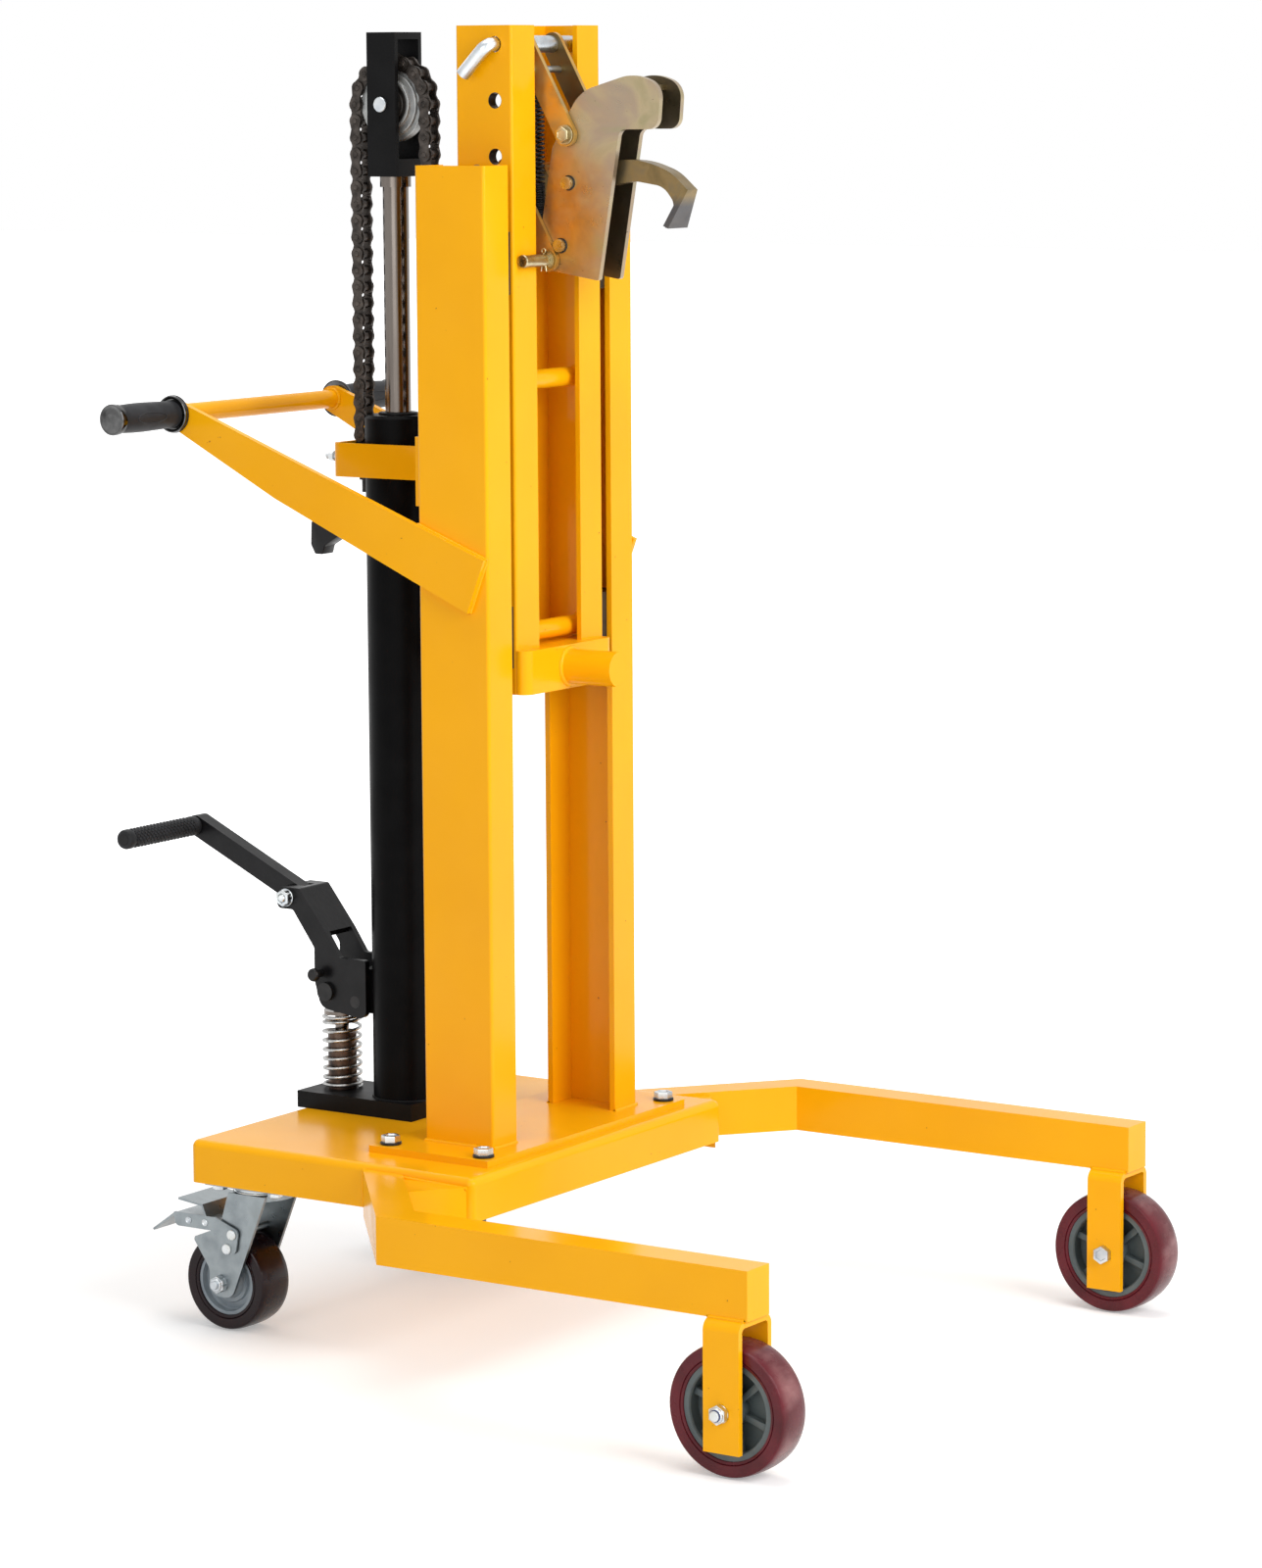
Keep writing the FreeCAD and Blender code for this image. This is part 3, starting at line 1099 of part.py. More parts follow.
def carriage_block():
    """Cross block between the carriage channels, with the chain lug behind it."""
    half = CARRIAGE_HALF - CARRIAGE_STEEL
    z = (CARRIAGE_Z[0], CARRIAGE_Z[0] + BLOCK_TALL)
    inner = (CARRIAGE_X[0] + CARRIAGE_STEEL, CARRIAGE_X[1] - CARRIAGE_STEEL)
    middle = CARRIAGE_HALF - CARRIAGE_FLANGE - GAP
    core = box(inner, span(0, 2 * half - 2 * GAP), z)
    nose_x = (CARRIAGE_X[0], MAST_X + BLOCK_AHEAD)
    nose = box(nose_x, (-middle, middle), z)
    face = plate_xy([(CARRIAGE_X[1], -CARRIAGE_HALF, 0), (nose_x[1], -CARRIAGE_HALF, BLOCK_ROUND),
                     (nose_x[1], CARRIAGE_HALF, BLOCK_ROUND), (CARRIAGE_X[1], CARRIAGE_HALF, 0)], z)
    reach = CHAIN_OUTER_H / 2
    lug_x = (CHAIN_FRONT_X - reach, CARRIAGE_X[0] + CARRIAGE_STEEL)
    lug = box(lug_x, span(0, TONGUE_W), (z[0], LUG_Z + reach))
    return fused(core, nose, face, lug)


def belly_rest():
    """Capped stub tube that the drum's side leans on."""
    start = MAST_X + BLOCK_AHEAD
    x = (start, start + REST_LONG)
    z = CARRIAGE_Z[0] + BLOCK_TALL / 2
    stub = rod_x(REST_D / 2, x, 0, z)
    return stub.cut(rod_x(REST_D / 2 - REST_WALL, (start, x[1] - REST_CAP), 0, z))


def carriage_pads():
    """Slide pads between the carriage webs and the mast channels."""
    x = (MAST_BOX_X[0] + MAST_STEEL + GAP, MAST_BOX_X[1] - MAST_STEEL - GAP)
    y = (CARRIAGE_HALF, MAST_HALF - MAST_STEEL - GAP)
    pads = []
    for low in (CARRIAGE_Z[0] + PAD_INSET, CARRIAGE_Z[0] + PAD_INSET + PAD_SPAN):
        pad = box(x, y, (low, low + PAD_TALL))
        pads += [pad, mirrored(pad)]
    return group(*pads)


# Gripper

def link_y(way):
    """Sideways place of a link plate, outside the beak plate on that side."""
    near = LINK_SPREAD + BEAK_T / 2 + GAP
    return sorted((way * near, way * (near + LINK_T)))


def upper_links():
    """Sleeve on the lock pin with a flat link welded on each side."""
    sleeve = rod_y(SLEEVE_D / 2, PIN_X, (-SLEEVE_HALF, SLEEVE_HALF), PIN_Z)
    plates = [plate_xz(bar_outline((PIN_X, PIN_Z), LINK_B, LINK_ROUND), link_y(way)) for way in (1, -1)]
    links = fused(sleeve, *plates)
    wide = span(0, 2 * SLEEVE_HALF + OVERRUN)
    links = links.cut(rod_y(LOCK_PIN_D / 2 + RUN, PIN_X, wide, PIN_Z))
    links = links.cut(rod_y(PULL_BOLT_D / 2 + RUN, PULL_BOLT_X, wide, PULL_BOLT_Z))
    return links.cut(rod_y(LINK_PIN_D / 2 + RUN, LINK_B[0], wide, LINK_B[1]))


def spring_bolt():
    half = link_y(1)[1] + GAP / 2
    bolt = rod_y(PULL_BOLT_D / 2, PULL_BOLT_X, (-half, half), PULL_BOLT_Z)
    ends = []
    for way in (1, -1):
        seat = V(PULL_BOLT_X, way * half, PULL_BOLT_Z)
        ends.append(hexagon(PULL_BOLT_D * 3 / 2, seat, V(0, way, 0), LINK_T))
    return fused(bolt, *ends)


def gripper_spring():
    radius = (PULL_SPRING_OD - PULL_SPRING_WIRE) / 2
    foot = V(MAST_X + PULL_SPRING_AHEAD, 0, PULL_SPRING_LOW)
    points, arcs = coil(radius, PULL_SPRING_WIRE, PULL_SPRING_TALL, PULL_SPRING_TURNS, foot)
    edges = arcs
    for point, way in ((points[0], -1), (points[-1], 1)):
        out = V(0, way, 0)
        up = V(0, 0, way)
        centre = point + up * PULL_BEND
        middle = centre + (out - up).normalize() * PULL_BEND
        corner = centre + out * PULL_BEND
        tip = corner + up * PULL_LEG
        if way > 0:
            edges = edges + [Part.Arc(point, middle, corner).toShape(), Part.LineSegment(corner, tip).toShape()]
        else:
            edges = [Part.LineSegment(tip, corner).toShape(), Part.Arc(corner, middle, point).toShape()] + edges
    return wire_form(edges, PULL_SPRING_WIRE)


def lower_links():
    """Pair of flat links on a shaft that turns in the carriage webs."""
    half = CARRIAGE_HALF - GAP
    shaft = rod_y(LOWER_PIN_D / 2, LINK_D[0], (-half, half), LINK_D[1])
    plates = [plate_xz(bar_outline(LINK_D, LINK_C, LINK_ROUND), link_y(way)) for way in (1, -1)]
    links = fused(shaft, *plates)
    return links.cut(rod_y(LOWER_PIN_D / 2 + RUN, LINK_C[0], span(0, 2 * half), LINK_C[1]))


def beak_plate(way):
    low = (MAST_X + BEAK_BACK_AHEAD, BEAK_BASE_Z)
    y = span(way * LINK_SPREAD, BEAK_T)
    plate = plate_xz(from_shares(BEAK_SHARES, low, BEAK_LONG, BEAK_TALL), y)
    for x, z, diameter in beak_pin_places():
        plate = plate.cut(rod_y(diameter / 2 + RUN, x, (y[0] - OVERRUN, y[1] + OVERRUN), z))
    return plate


def beak_pin_places():
    return (
        (LINK_B[0], LINK_B[1], LINK_PIN_D), (JAW_X, JAW_PIVOT_Z, JAW_PIN_D),
        (MAST_X + RIVET_AHEAD, RIVET_Z, RIVET_D), (LINK_C[0], LINK_C[1], LOWER_PIN_D),
    )


def beak_pins():
    """Link bolt, jaw pin, rivet and the long lower pin that rests on the carriage, with the nose bridge."""
    outside = LINK_SPREAD + BEAK_T / 2
    over_link = outside + GAP + LINK_T + GAP
    halves = (over_link, outside + GAP, outside + GAP, LOWER_PIN_HALF)
    pins = []
    for (x, z, diameter), half in zip(beak_pin_places(), halves):
        pin = rod_y(diameter / 2, x, (-half, half), z)
        if half < LOWER_PIN_HALF:
            for way in (1, -1):
                head_y = sorted((way * half, way * (half + LINK_T)))
                pin = pin.fuse(rod_y(diameter * PIN_HEAD_SHARE, x, head_y, z))
            pin = pin.removeSplitter()
        pins.append(pin)
    nose_x = MAST_X + BEAK_BACK_AHEAD + BEAK_LONG * 4 / 5
    nose_z = BEAK_BASE_Z + BEAK_TALL - 2 * BRIDGE_T
    bridge_half = LINK_SPREAD - BEAK_T / 2
    pins.append(box(span(nose_x, 3 * BRIDGE_T), (-bridge_half, bridge_half), (nose_z - BRIDGE_T, nose_z)))
    return group(*pins)


def jaw():
    """Curved hook with a flared tip that reaches over the rim, on its pin between the beak plates."""
    low = (JAW_X - JAW_TALL / 4, JAW_PIVOT_Z - JAW_TALL * 2 / 3)
    corners = from_shares(JAW_SHARES, low, JAW_LONG, JAW_TALL)
    hook = plate_xz(corners, span(0, JAW_T))
    top = V(corners[4][0], 0, corners[4][1])
    tip = V(corners[5][0], 0, corners[5][1])
    narrow = V(0, JAW_T / 2, 0)
    broad = V(0, JAW_PAD_HALF, 0)
    face = Part.Face(Part.makePolygon([top - narrow, top + narrow, tip + broad, tip - broad, top - narrow]))
    outward = V(0, 1, 0).cross(top - tip).normalize()
    hook = fused(hook, face.extrude(outward * -JAW_PAD_T))
    return hook.cut(rod_y(JAW_PIN_D / 2 + RUN, JAW_X, span(0, 2 * JAW_T), JAW_PIVOT_Z))


def lock_pin():
    """Round pin through both carriage webs, with its outer end bent back and down."""
    outside = CARRIAGE_HALF + LOCK_PIN_PROUD
    start = V(PIN_X, outside, PIN_Z)
    bend_start = V(PIN_X, -outside, PIN_Z)
    tail = V(-1, 0, -1).normalize()
    corner = bend_start - V(0, LOCK_PIN_BEND, 0)
    bend_end = corner + tail * LOCK_PIN_BEND
    centre = bend_start + tail * LOCK_PIN_BEND
    middle = centre + (corner - centre).normalize() * LOCK_PIN_BEND
    path = Part.Wire([
        Part.LineSegment(start, bend_start).toShape(), Part.Arc(bend_start, middle, bend_end).toShape(),
        Part.LineSegment(bend_end, bend_end + tail * LOCK_PIN_TAIL).toShape(),
    ])
    ring = Part.Wire(Part.Circle(start, V(0, -1, 0), LOCK_PIN_D / 2).toShape())
    return path.makePipeShell([ring], True, False)


def both(shape):
    return group(shape, mirrored(shape))


os.makedirs("parts", exist_ok=True)

save("deck_tray", deck_tray())
save("leg_left", leg())
save("leg_right", mirrored(leg()))
save("base_plate", base_plate())
save("frame_bolts", frame_bolts())
mast_left = channel(MAST_BOX_X, MAST_HALF, MAST_FLANGE, MAST_STEEL, MAST_Z)
save("mast_left", mast_left)
save("mast_right", mirrored(mast_left))
save("mast_tie", mast_tie())
save("handle_arms", both(handle_arm()))
save("handle_bar", handle_bar())
save("hand_grips", both(hand_grip()))
save("grip_trims", both(grip_trim()))
save("cylinder_strap", cylinder_strap())
save("chain_anchor", chain_anchor())
wrap_start = CHAIN_REAR_LINKS
front_start = CHAIN_REAR_LINKS + CHAIN_WRAP_LINKS
save("chain_rear", chain_run(0, wrap_start))
save("chain_wrap", chain_run(wrap_start, front_start))
save("chain_front", chain_run(front_start, front_start + CHAIN_FRONT_LINKS))
save("pump_block", pump_block())
save("cylinder_tube", cylinder_tube())
save("cylinder_gland", cylinder_gland())
save("pump_barrel", pump_barrel())
save("pump_spring", pump_spring())
save("front_forks", group(front_fork(1), front_fork(-1)))
save("front_axles", group(front_axle(1), front_axle(-1)))
save("castor_plates", group(castor_plate(1), castor_plate(-1)))
save("ram_rod", ram_rod())
save("sheave_bracket", sheave_bracket())
save("sheave_pin", sheave_pin())
save("sheave", sheave())
save("carriage_uprights", both(carriage_upright()))
save("carriage_bars", carriage_bars())
save("carriage_block", carriage_block())
save("belly_rest", belly_rest())
save("carriage_pads", carriage_pads())
save("upper_links", upper_links())
save("spring_bolt", spring_bolt())
save("gripper_spring", gripper_spring())
save("lower_links", lower_links())
save("beak_plates", group(beak_plate(1), beak_plate(-1)))
save("beak_pins", beak_pins())
save("jaw", jaw())
save("lock_pin", lock_pin())
save("lever_casting", lever_casting())
save("lever_pins", lever_pins())
save("plunger", plunger())
save("pedal_arm", pedal_arm())
save("pedal_grip", pedal_grip())
save("release_lever", release_lever())
for name, side in (("left", 1), ("right", -1)):
    hub, tread = front_wheel(side)
    save("front_hub_" + name, hub)
    save("front_tyre_" + name, tread)
    hub, tread = castor_wheel(side)
    save("castor_hub_" + name, hub)
    save("castor_tyre_" + name, tread)
    save("castor_fork_" + name, castor_fork(side))
    save("brake_" + name, brake(side))
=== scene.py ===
import bpy
import math
from mathutils import Matrix, Vector


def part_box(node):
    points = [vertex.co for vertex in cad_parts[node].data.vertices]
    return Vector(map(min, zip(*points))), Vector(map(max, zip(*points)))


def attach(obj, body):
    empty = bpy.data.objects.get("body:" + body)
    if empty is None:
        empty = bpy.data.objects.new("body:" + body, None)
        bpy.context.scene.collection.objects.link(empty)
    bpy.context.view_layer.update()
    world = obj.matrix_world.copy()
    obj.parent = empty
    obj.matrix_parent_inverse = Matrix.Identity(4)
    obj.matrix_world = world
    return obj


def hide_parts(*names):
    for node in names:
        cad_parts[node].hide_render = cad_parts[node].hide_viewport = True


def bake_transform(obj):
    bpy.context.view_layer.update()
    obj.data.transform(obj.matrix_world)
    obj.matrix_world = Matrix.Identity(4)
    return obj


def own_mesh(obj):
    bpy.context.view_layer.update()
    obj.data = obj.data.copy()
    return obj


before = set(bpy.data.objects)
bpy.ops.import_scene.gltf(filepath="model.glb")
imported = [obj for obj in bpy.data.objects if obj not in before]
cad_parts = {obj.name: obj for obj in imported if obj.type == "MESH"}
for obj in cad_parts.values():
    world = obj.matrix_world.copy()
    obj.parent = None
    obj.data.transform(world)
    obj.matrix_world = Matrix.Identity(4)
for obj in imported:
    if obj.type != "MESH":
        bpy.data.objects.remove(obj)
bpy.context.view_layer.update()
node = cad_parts


# Deck tray, legs, forks, mast, handle and carriage: folded sheet and channel, welded together.
# All of it is sprayed with one gloss orange-yellow paint, with a fine orange peel and a few dark specks.

def colour(red, green, blue):
    """Linear colour of a tone that is read as 0 to 255 on a screen."""
    tone = [value / 255 for value in (red, green, blue)]
    return [v / 12.92 if v < 0.04045 else ((v + 0.055) / 1.055) ** 2.4 for v in tone] + [1]


def feed(finish, entry, value):
    """Sets a shader socket to a plain value, or links it to another node's output."""
    if isinstance(value, bpy.types.NodeSocket):
        finish.node_tree.links.new(value, entry)
    else:
        entry.default_value = value


def surface(finish, **sockets):
    """Feeds the named sockets of a finish's own shader."""
    for socket, value in sockets.items():
        feed(finish, finish.node_tree.nodes["Principled BSDF"].inputs[socket.replace("_", " ")], value)


def shading(finish, kind, **sockets):
    """New shader node of a kind, with its named sockets fed."""
    step = finish.node_tree.nodes.new("ShaderNode" + kind)
    for socket, value in sockets.items():
        feed(finish, step.inputs[socket.replace("_", " ")], value)
    return step


def new_finish(name, **sockets):
    """Material with even values on its shader."""
    finish = bpy.data.materials.new(name)
    finish.use_nodes = True
    surface(finish, **sockets)
    return finish


def placed(finish, stretch, centre=(0, 0, 0)):
    """Object coordinates, moved to a centre and stretched along the axes."""
    place = shading(finish, "TexCoord").outputs["Object"]
    shift = [-c * s for c, s in zip(centre, stretch)]
    return shading(finish, "Mapping", Vector=place, Location=shift, Scale=stretch).outputs["Vector"]


def noise(finish, scale, detail, stretch=(1, 1, 1), warp=0):
    """Noise on the piece's own Object coordinates."""
    place = placed(finish, stretch)
    return shading(finish, "TexNoise", Vector=place, Scale=scale, Detail=detail, Distortion=warp).outputs[0]


def ramp(finish, source, stops):
    """Ramp over a pattern, with screen tones or plain shares as its stops."""
    band = shading(finish, "ValToRGB", Fac=source)
    while len(band.color_ramp.elements) < len(stops):
        band.color_ramp.elements.new(0.5)
    for element, (at, tone) in zip(band.color_ramp.elements, stops):
        element.position = at
        element.color = colour(*tone) if isinstance(tone, tuple) else [tone] * 3 + [1]
    return band.outputs["Color"]


def mottled(name, grain, tones, rough_grain, rough, **sockets):
    """Finish whose tone and roughness both drift with a noise of their own grain."""
    finish = new_finish(name, **sockets)
    rough_stops = ((0.3, rough[0]), (0.7, rough[1]))
    surface(finish, Base_Color=ramp(finish, noise(finish, *grain), tones),
            Roughness=ramp(finish, noise(finish, *rough_grain), rough_stops))
    return finish


def blotched(finish, over, share):
    """Lays one more tone, a colour or a pattern, over the finish where a share says so."""
    base = finish.node_tree.nodes["Principled BSDF"].inputs["Base Color"]
    mix = shading(finish, "Mix")
    mix.data_type = "RGBA"
    for entry, value in ((0, share), (6, base.links[0].from_socket), (7, over)):
        feed(finish, mix.inputs[entry], value)
    feed(finish, base, mix.outputs[2])


def relief(finish, scale, detail, strength, depth):
    """Bump on the shader from a noise."""
    height = noise(finish, scale, detail)
    bump = shading(finish, "Bump", Height=height, Strength=strength, Distance=depth)
    surface(finish, Normal=bump.outputs["Normal"])


def dress(finish, *names):
    for name in names:
        for slot in node[name].material_slots:
            slot.material = finish


frame_paint = mottled(
    "frame_paint", grain=(5, 3), rough_grain=(14, 4), rough=(0.15, 0.26),
    Specular_IOR_Level=0.12, Coat_Weight=0.06, Coat_Roughness=0.07,
    tones=((0.35, (242, 169, 8)), (0.65, (248, 176, 11))))
specks = ramp(frame_paint, noise(frame_paint, 170, 1), ((0.79, 0), (0.83, 0.8)))
blotched(frame_paint, colour(150, 84, 8), specks)
relief(frame_paint, 420, 2, 0.08, 0.0005)
dress(frame_paint, "deck_tray", "leg_left", "leg_right", "front_forks", "base_plate", "mast_left",
      "mast_right", "mast_tie", "handle_arms", "handle_bar", "cylinder_strap", "carriage_uprights",
      "carriage_bars", "carriage_block", "belly_rest")


# Weld beads of the frame: runs of weld metal at the forks, leg roots, mast feet, handle arms and bars.
# They are laid by hand in short ripples and painted over with the frame.

def apply_place(piece):
    """Puts a piece's place into its mesh, with its object at the origin."""
    bpy.ops.object.select_all(action="DESELECT")
    piece.select_set(True)
    bpy.context.view_layer.objects.active = piece
    bpy.ops.object.transform_apply()


def made(add, stretch=(1, 1, 1), **options):
    """New piece from one of the basic shapes, stretched, with its place put into its mesh."""
    bpy.ops.object.select_all(action="DESELECT")
    add(**options)
    bpy.context.object.scale = stretch
    apply_place(bpy.context.object)
    return bpy.context.object


def open_up():
    """Opens the piece at hand in edit mode with all of it selected."""
    bpy.ops.object.mode_set(mode="EDIT")
    bpy.ops.mesh.select_all(action="SELECT")


def close_up(piece, crease):
    """Merges doubled points, turns the faces outwards and smooths all but the sharp edges."""
    bpy.context.tool_settings.mesh_select_mode = (True, False, False)
    open_up()
    bpy.ops.mesh.remove_doubles(threshold=1e-6)
    bpy.ops.mesh.normals_make_consistent(inside=False)
    bpy.ops.object.mode_set(mode="OBJECT")
    bpy.ops.object.shade_smooth_by_angle(angle=math.radians(crease))
    return piece


def joined(name, pieces):
    bpy.ops.object.select_all(action="DESELECT")
    for piece in pieces:
        piece.select_set(True)
    bpy.context.view_layer.objects.active = pieces[0]
    bpy.ops.object.join()
    pieces[0].name = name
    return pieces[0]


def coat(piece, finish):
    """Gives a finished piece its material."""
    piece.data.materials.clear()
    piece.data.materials.append(finish)


def settle(piece, finish, slot, body, *nodes):
    """Coats a finished piece, hangs it on the body it rides on and hides the nodes it stands for."""
    coat(piece, finish)
    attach(piece, body)
    if nodes:
        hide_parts(*nodes)


def weld_run(start, end, size):
    """Straight run of weld: a ring drawn out step by step, fat and thin in turn."""
    along = Vector(end) - Vector(start)
    ripples = max(4, round(along.length / (size * 1.1)))
    run = made(bpy.ops.mesh.primitive_circle_add, vertices=8, radius=size * 0.75, fill_type="NGON",
               location=start, rotation=along.to_track_quat("Z", "Y").to_euler())
    open_up()
    for ripple in range(ripples):
        swell = 1.3 if ripple % 2 == 0 else 1 / 1.3
        bpy.ops.mesh.extrude_region_move(TRANSFORM_OT_translate={"value": along / ripples})
        bpy.ops.transform.resize(value=(swell, swell, swell))
    return close_up(run, 60)


def weld_ring(centre, axis, radius, size):
    """Weld round a tube: a ring of metal with every other section swollen."""
    sections = 2 * round(math.pi * radius / (size * 1.1))
    ring = made(bpy.ops.mesh.primitive_torus_add, location=(0, 0, 0), major_radius=radius, minor_radius=size,
                major_segments=sections, minor_segments=8)
    bpy.context.tool_settings.mesh_select_mode = (True, False, False)
    for part in (ring.data.polygons, ring.data.edges, ring.data.vertices):
        part.foreach_set("select", [False] * len(part))
    for point in ring.data.vertices:
        turn = math.atan2(point.co.y, point.co.x) / (2 * math.pi / sections)
        point.select = round(turn) % 2 == 0
    bpy.ops.object.mode_set(mode="EDIT")
    bpy.ops.transform.shrink_fatten(value=size * 0.25)
    bpy.ops.object.mode_set(mode="OBJECT")
    ring.rotation_euler = Vector(axis).to_track_quat("Z", "Y").to_euler()
    ring.location = centre
    apply_place(ring)
    return close_up(ring, 60)


def middle(name):
    """Middle of a CAD node's box."""
    low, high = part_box(name)
    return (low + high) / 2


fork_low, fork_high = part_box("front_forks")
leg_low, leg_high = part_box("leg_left")
mast_low, mast_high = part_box("mast_left")
deck_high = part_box("deck_tray")[1]
arm_low, arm_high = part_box("handle_arms")
bar_x = middle("handle_bar").x
bar_z = middle("handle_bar").z
leg_wide = 0.043
root_end = 0.028
arm_rise, arm_run, arm_lift = 0.0607, 0.0232, 0.0362
bead = 0.0026
frame_welds = []
for side in (1, -1):
    outer = side * leg_high.y
    inner = side * (leg_high.y - leg_wide)
    seam = leg_low.z
    root = side * deck_high.y
    web = side * mast_high.y
    lip = side * mast_low.y
    foot = mast_low.z
    face = side * (mast_high.y + 0.001)
    arm_corner = (mast_high.x, face, arm_low.z + arm_rise)
    for start, end, size in (
            ((fork_low.x, outer, seam), (fork_high.x, outer, seam), bead),
            ((fork_low.x, inner, seam), (fork_high.x, inner, seam), bead),
            ((fork_low.x, outer, seam), (fork_low.x, inner, seam), bead),
            ((fork_high.x, outer, seam), (fork_high.x, inner, seam), bead),
            ((leg_low.x, root, leg_high.z - 0.002), (root_end, root, leg_high.z - 0.006), bead),
            ((leg_low.x, root, leg_low.z + 0.012), (leg_low.x, root, leg_high.z - 0.002), bead),
            ((mast_low.x, web, foot), (mast_high.x, web, foot), 0.003),
            ((mast_low.x, lip, foot), (mast_low.x, web, foot), 0.003),
            ((mast_high.x, lip, foot), (mast_high.x, web, foot), 0.003),
            ((mast_high.x - arm_run, face, arm_low.z), arm_corner, 0.0022),
            (arm_corner, (mast_low.x, face, arm_corner[2] + arm_lift), 0.0022)):
        frame_welds.append(weld_run(start, end, size))
    frame_welds.append(weld_ring((bar_x, web, bar_z), (0, 1, 0), 0.0115, 0.002))
settle(joined("frame_welds", frame_welds), frame_paint, "frame_paint", "chassis")

rest_root = (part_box("belly_rest")[0].x, 0, middle("belly_rest").z)
rung_x = middle("carriage_bars").x
rung_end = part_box("carriage_bars")[1].y
carriage_welds = [weld_ring(rest_root, (1, 0, 0), 0.0205, 0.003)]
for side in (1, -1):
    for rung_z in (0.815, 1.101):
        carriage_welds.append(weld_ring((rung_x, side * rung_end, rung_z), (0, 1, 0), 0.0115, 0.0022))
settle(joined("carriage_welds", carriage_welds), frame_paint, "frame_paint", "carriage")


# Base bolts: four zinc-plated hex bolts that hold the mast's base plate to the deck, on black washers.
# Each is one six-sided head with turned-off corners and a dished top; its nut is under the deck.
# One bolt and one washer are modelled and copied.

def pick_faces(piece, wanted):
    """Opens a piece in edit mode with the faces selected whose normal passes a test."""
    bpy.ops.object.mode_set(mode="OBJECT")
    bpy.context.tool_settings.mesh_select_mode = (False, False, True)
    for part in (piece.data.vertices, piece.data.edges, piece.data.polygons):
        part.foreach_set("select", [False] * len(part))
    for face in piece.data.polygons:
        face.select = wanted(face.normal)
    bpy.ops.object.mode_set(mode="EDIT")


def hex_head(seat, out, across, tall, dish=0.18):
    """Hexagon head or nut that stands on a seat, with a rounded and dished outer end."""
    out = Vector(out)
    middle = Vector(seat) + out * tall / 2
    head = made(bpy.ops.mesh.primitive_cylinder_add, vertices=6, radius=across / math.sqrt(3), depth=tall,
                location=middle, rotation=out.to_track_quat("Z", "Y").to_euler())
    pick_faces(head, lambda normal: normal.dot(out) > 0.9)
    bpy.ops.mesh.bevel(offset=tall * 0.14, segments=2, affect="EDGES")
    pick_faces(head, lambda normal: normal.dot(out) > 0.99)
    bpy.ops.mesh.inset(thickness=across * 0.12)
    bpy.ops.mesh.extrude_region_move(TRANSFORM_OT_translate={"value": -out * tall * dish})
    bpy.ops.transform.resize(value=(0.9, 0.9, 0.9))
    return close_up(head, 25)


def drawn(name, points):
    """Line drawn from point to point, left open in edit mode with all of it selected."""
    piece = made(bpy.ops.mesh.primitive_plane_add, size=0.001, location=points[0])
    piece.name = name
    open_up()
    bpy.ops.mesh.merge(type="CENTER")
    for before, after in zip(points, points[1:]):
        bpy.ops.mesh.extrude_vertices_move(TRANSFORM_OT_translate={"value": after - before})
    bpy.ops.mesh.select_all(action="SELECT")
    return piece


def turned(name, profile, centre, axis, steps=32, crease=30):
    """Turned piece: its half section, as steps along and out from the axis, is drawn and spun."""
    along = Vector(axis)
    out = Vector((0, 0, 1)) if abs(along.z) < 0.5 else Vector((1, 0, 0))
    piece = drawn(name, [Vector(centre) + along * step + out * radius for step, radius in profile])
    bpy.ops.mesh.spin(steps=steps, angle=2 * math.pi, center=centre, axis=axis)
    return close_up(piece, crease)


def ring_line(start, stop, bore, radius):
    """Half section of a plain ring or sleeve."""
    return [(start, bore), (start, radius), (stop, radius), (stop, bore), (start, bore)]


def copy_of(piece, place, turn=0, hand=""):
    """Copy of a piece with its own mesh, turned about the sideways axis and put in its place."""
    twin = bpy.data.objects.new(piece.name + hand, piece.data.copy())
    bpy.context.scene.collection.objects.link(twin)
    twin.rotation_euler = (0, turn, 0)
    twin.location = place
    apply_place(twin)
    return twin


def spread(piece, places):
    """Copies of a piece at each of its places, in the pattern's stead."""
    copies = [copy_of(piece, place) for place in places]
    bpy.data.objects.remove(piece)
    return copies


zinc_plate = mottled(
    "zinc_plate", grain=(45, 4), rough_grain=(80, 3), rough=(0.24, 0.38), Metallic=1.0,
    tones=((0.3, (176, 182, 188)), (0.55, (208, 212, 214)), (0.75, (194, 196, 190))))
relief(zinc_plate, 500, 2, 0.06, 0.0004)
dress(zinc_plate, "frame_bolts", "front_axles", "lock_pin", "sheave_pin", "spring_bolt")

black_oxide = mottled(
    "black_oxide", grain=(70, 4), rough_grain=(60, 3), rough=(0.34, 0.5), Metallic=0.6,
    tones=((0.3, (22, 22, 24)), (0.7, (48, 47, 48))))
dress(black_oxide, "chain_anchor")

plate_low, plate_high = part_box("base_plate")
bolt_inset = 0.018
washer_thick = 0.0032
under = deck_high.z - 0.005
bolt_places = [(x, y, 0) for x in (plate_low.x + bolt_inset, plate_high.x - bolt_inset)
               for y in (plate_low.y + bolt_inset, plate_high.y - bolt_inset)]
base_bolt = joined("base_bolt", [
    hex_head((0, 0, plate_high.z + washer_thick), (0, 0, 1), 0.019, 0.0075),
    hex_head((0, 0, under), (0, 0, -1), 0.019, 0.0082),
    turned("base_shank", [(0, 0), (0, 0.0058), (0.026, 0.0058), (0.026, 0)],
           (0, 0, under - 0.004), (0, 0, 1), 16)])
base_washer = turned("base_washer", [
    (0, 0.0064), (0, 0.0118), (0.0006, 0.0122), (0.0026, 0.0122), (washer_thick, 0.0116),
    (washer_thick, 0.0064), (0, 0.0064)], (0, 0, plate_high.z), (0, 0, 1))
base_bolts = joined("base_bolts", spread(base_bolt, bolt_places))
base_washers = joined("base_washers", spread(base_washer, bolt_places))
settle(base_bolts, zinc_plate, "zinc_steel", "chassis", "frame_bolts")
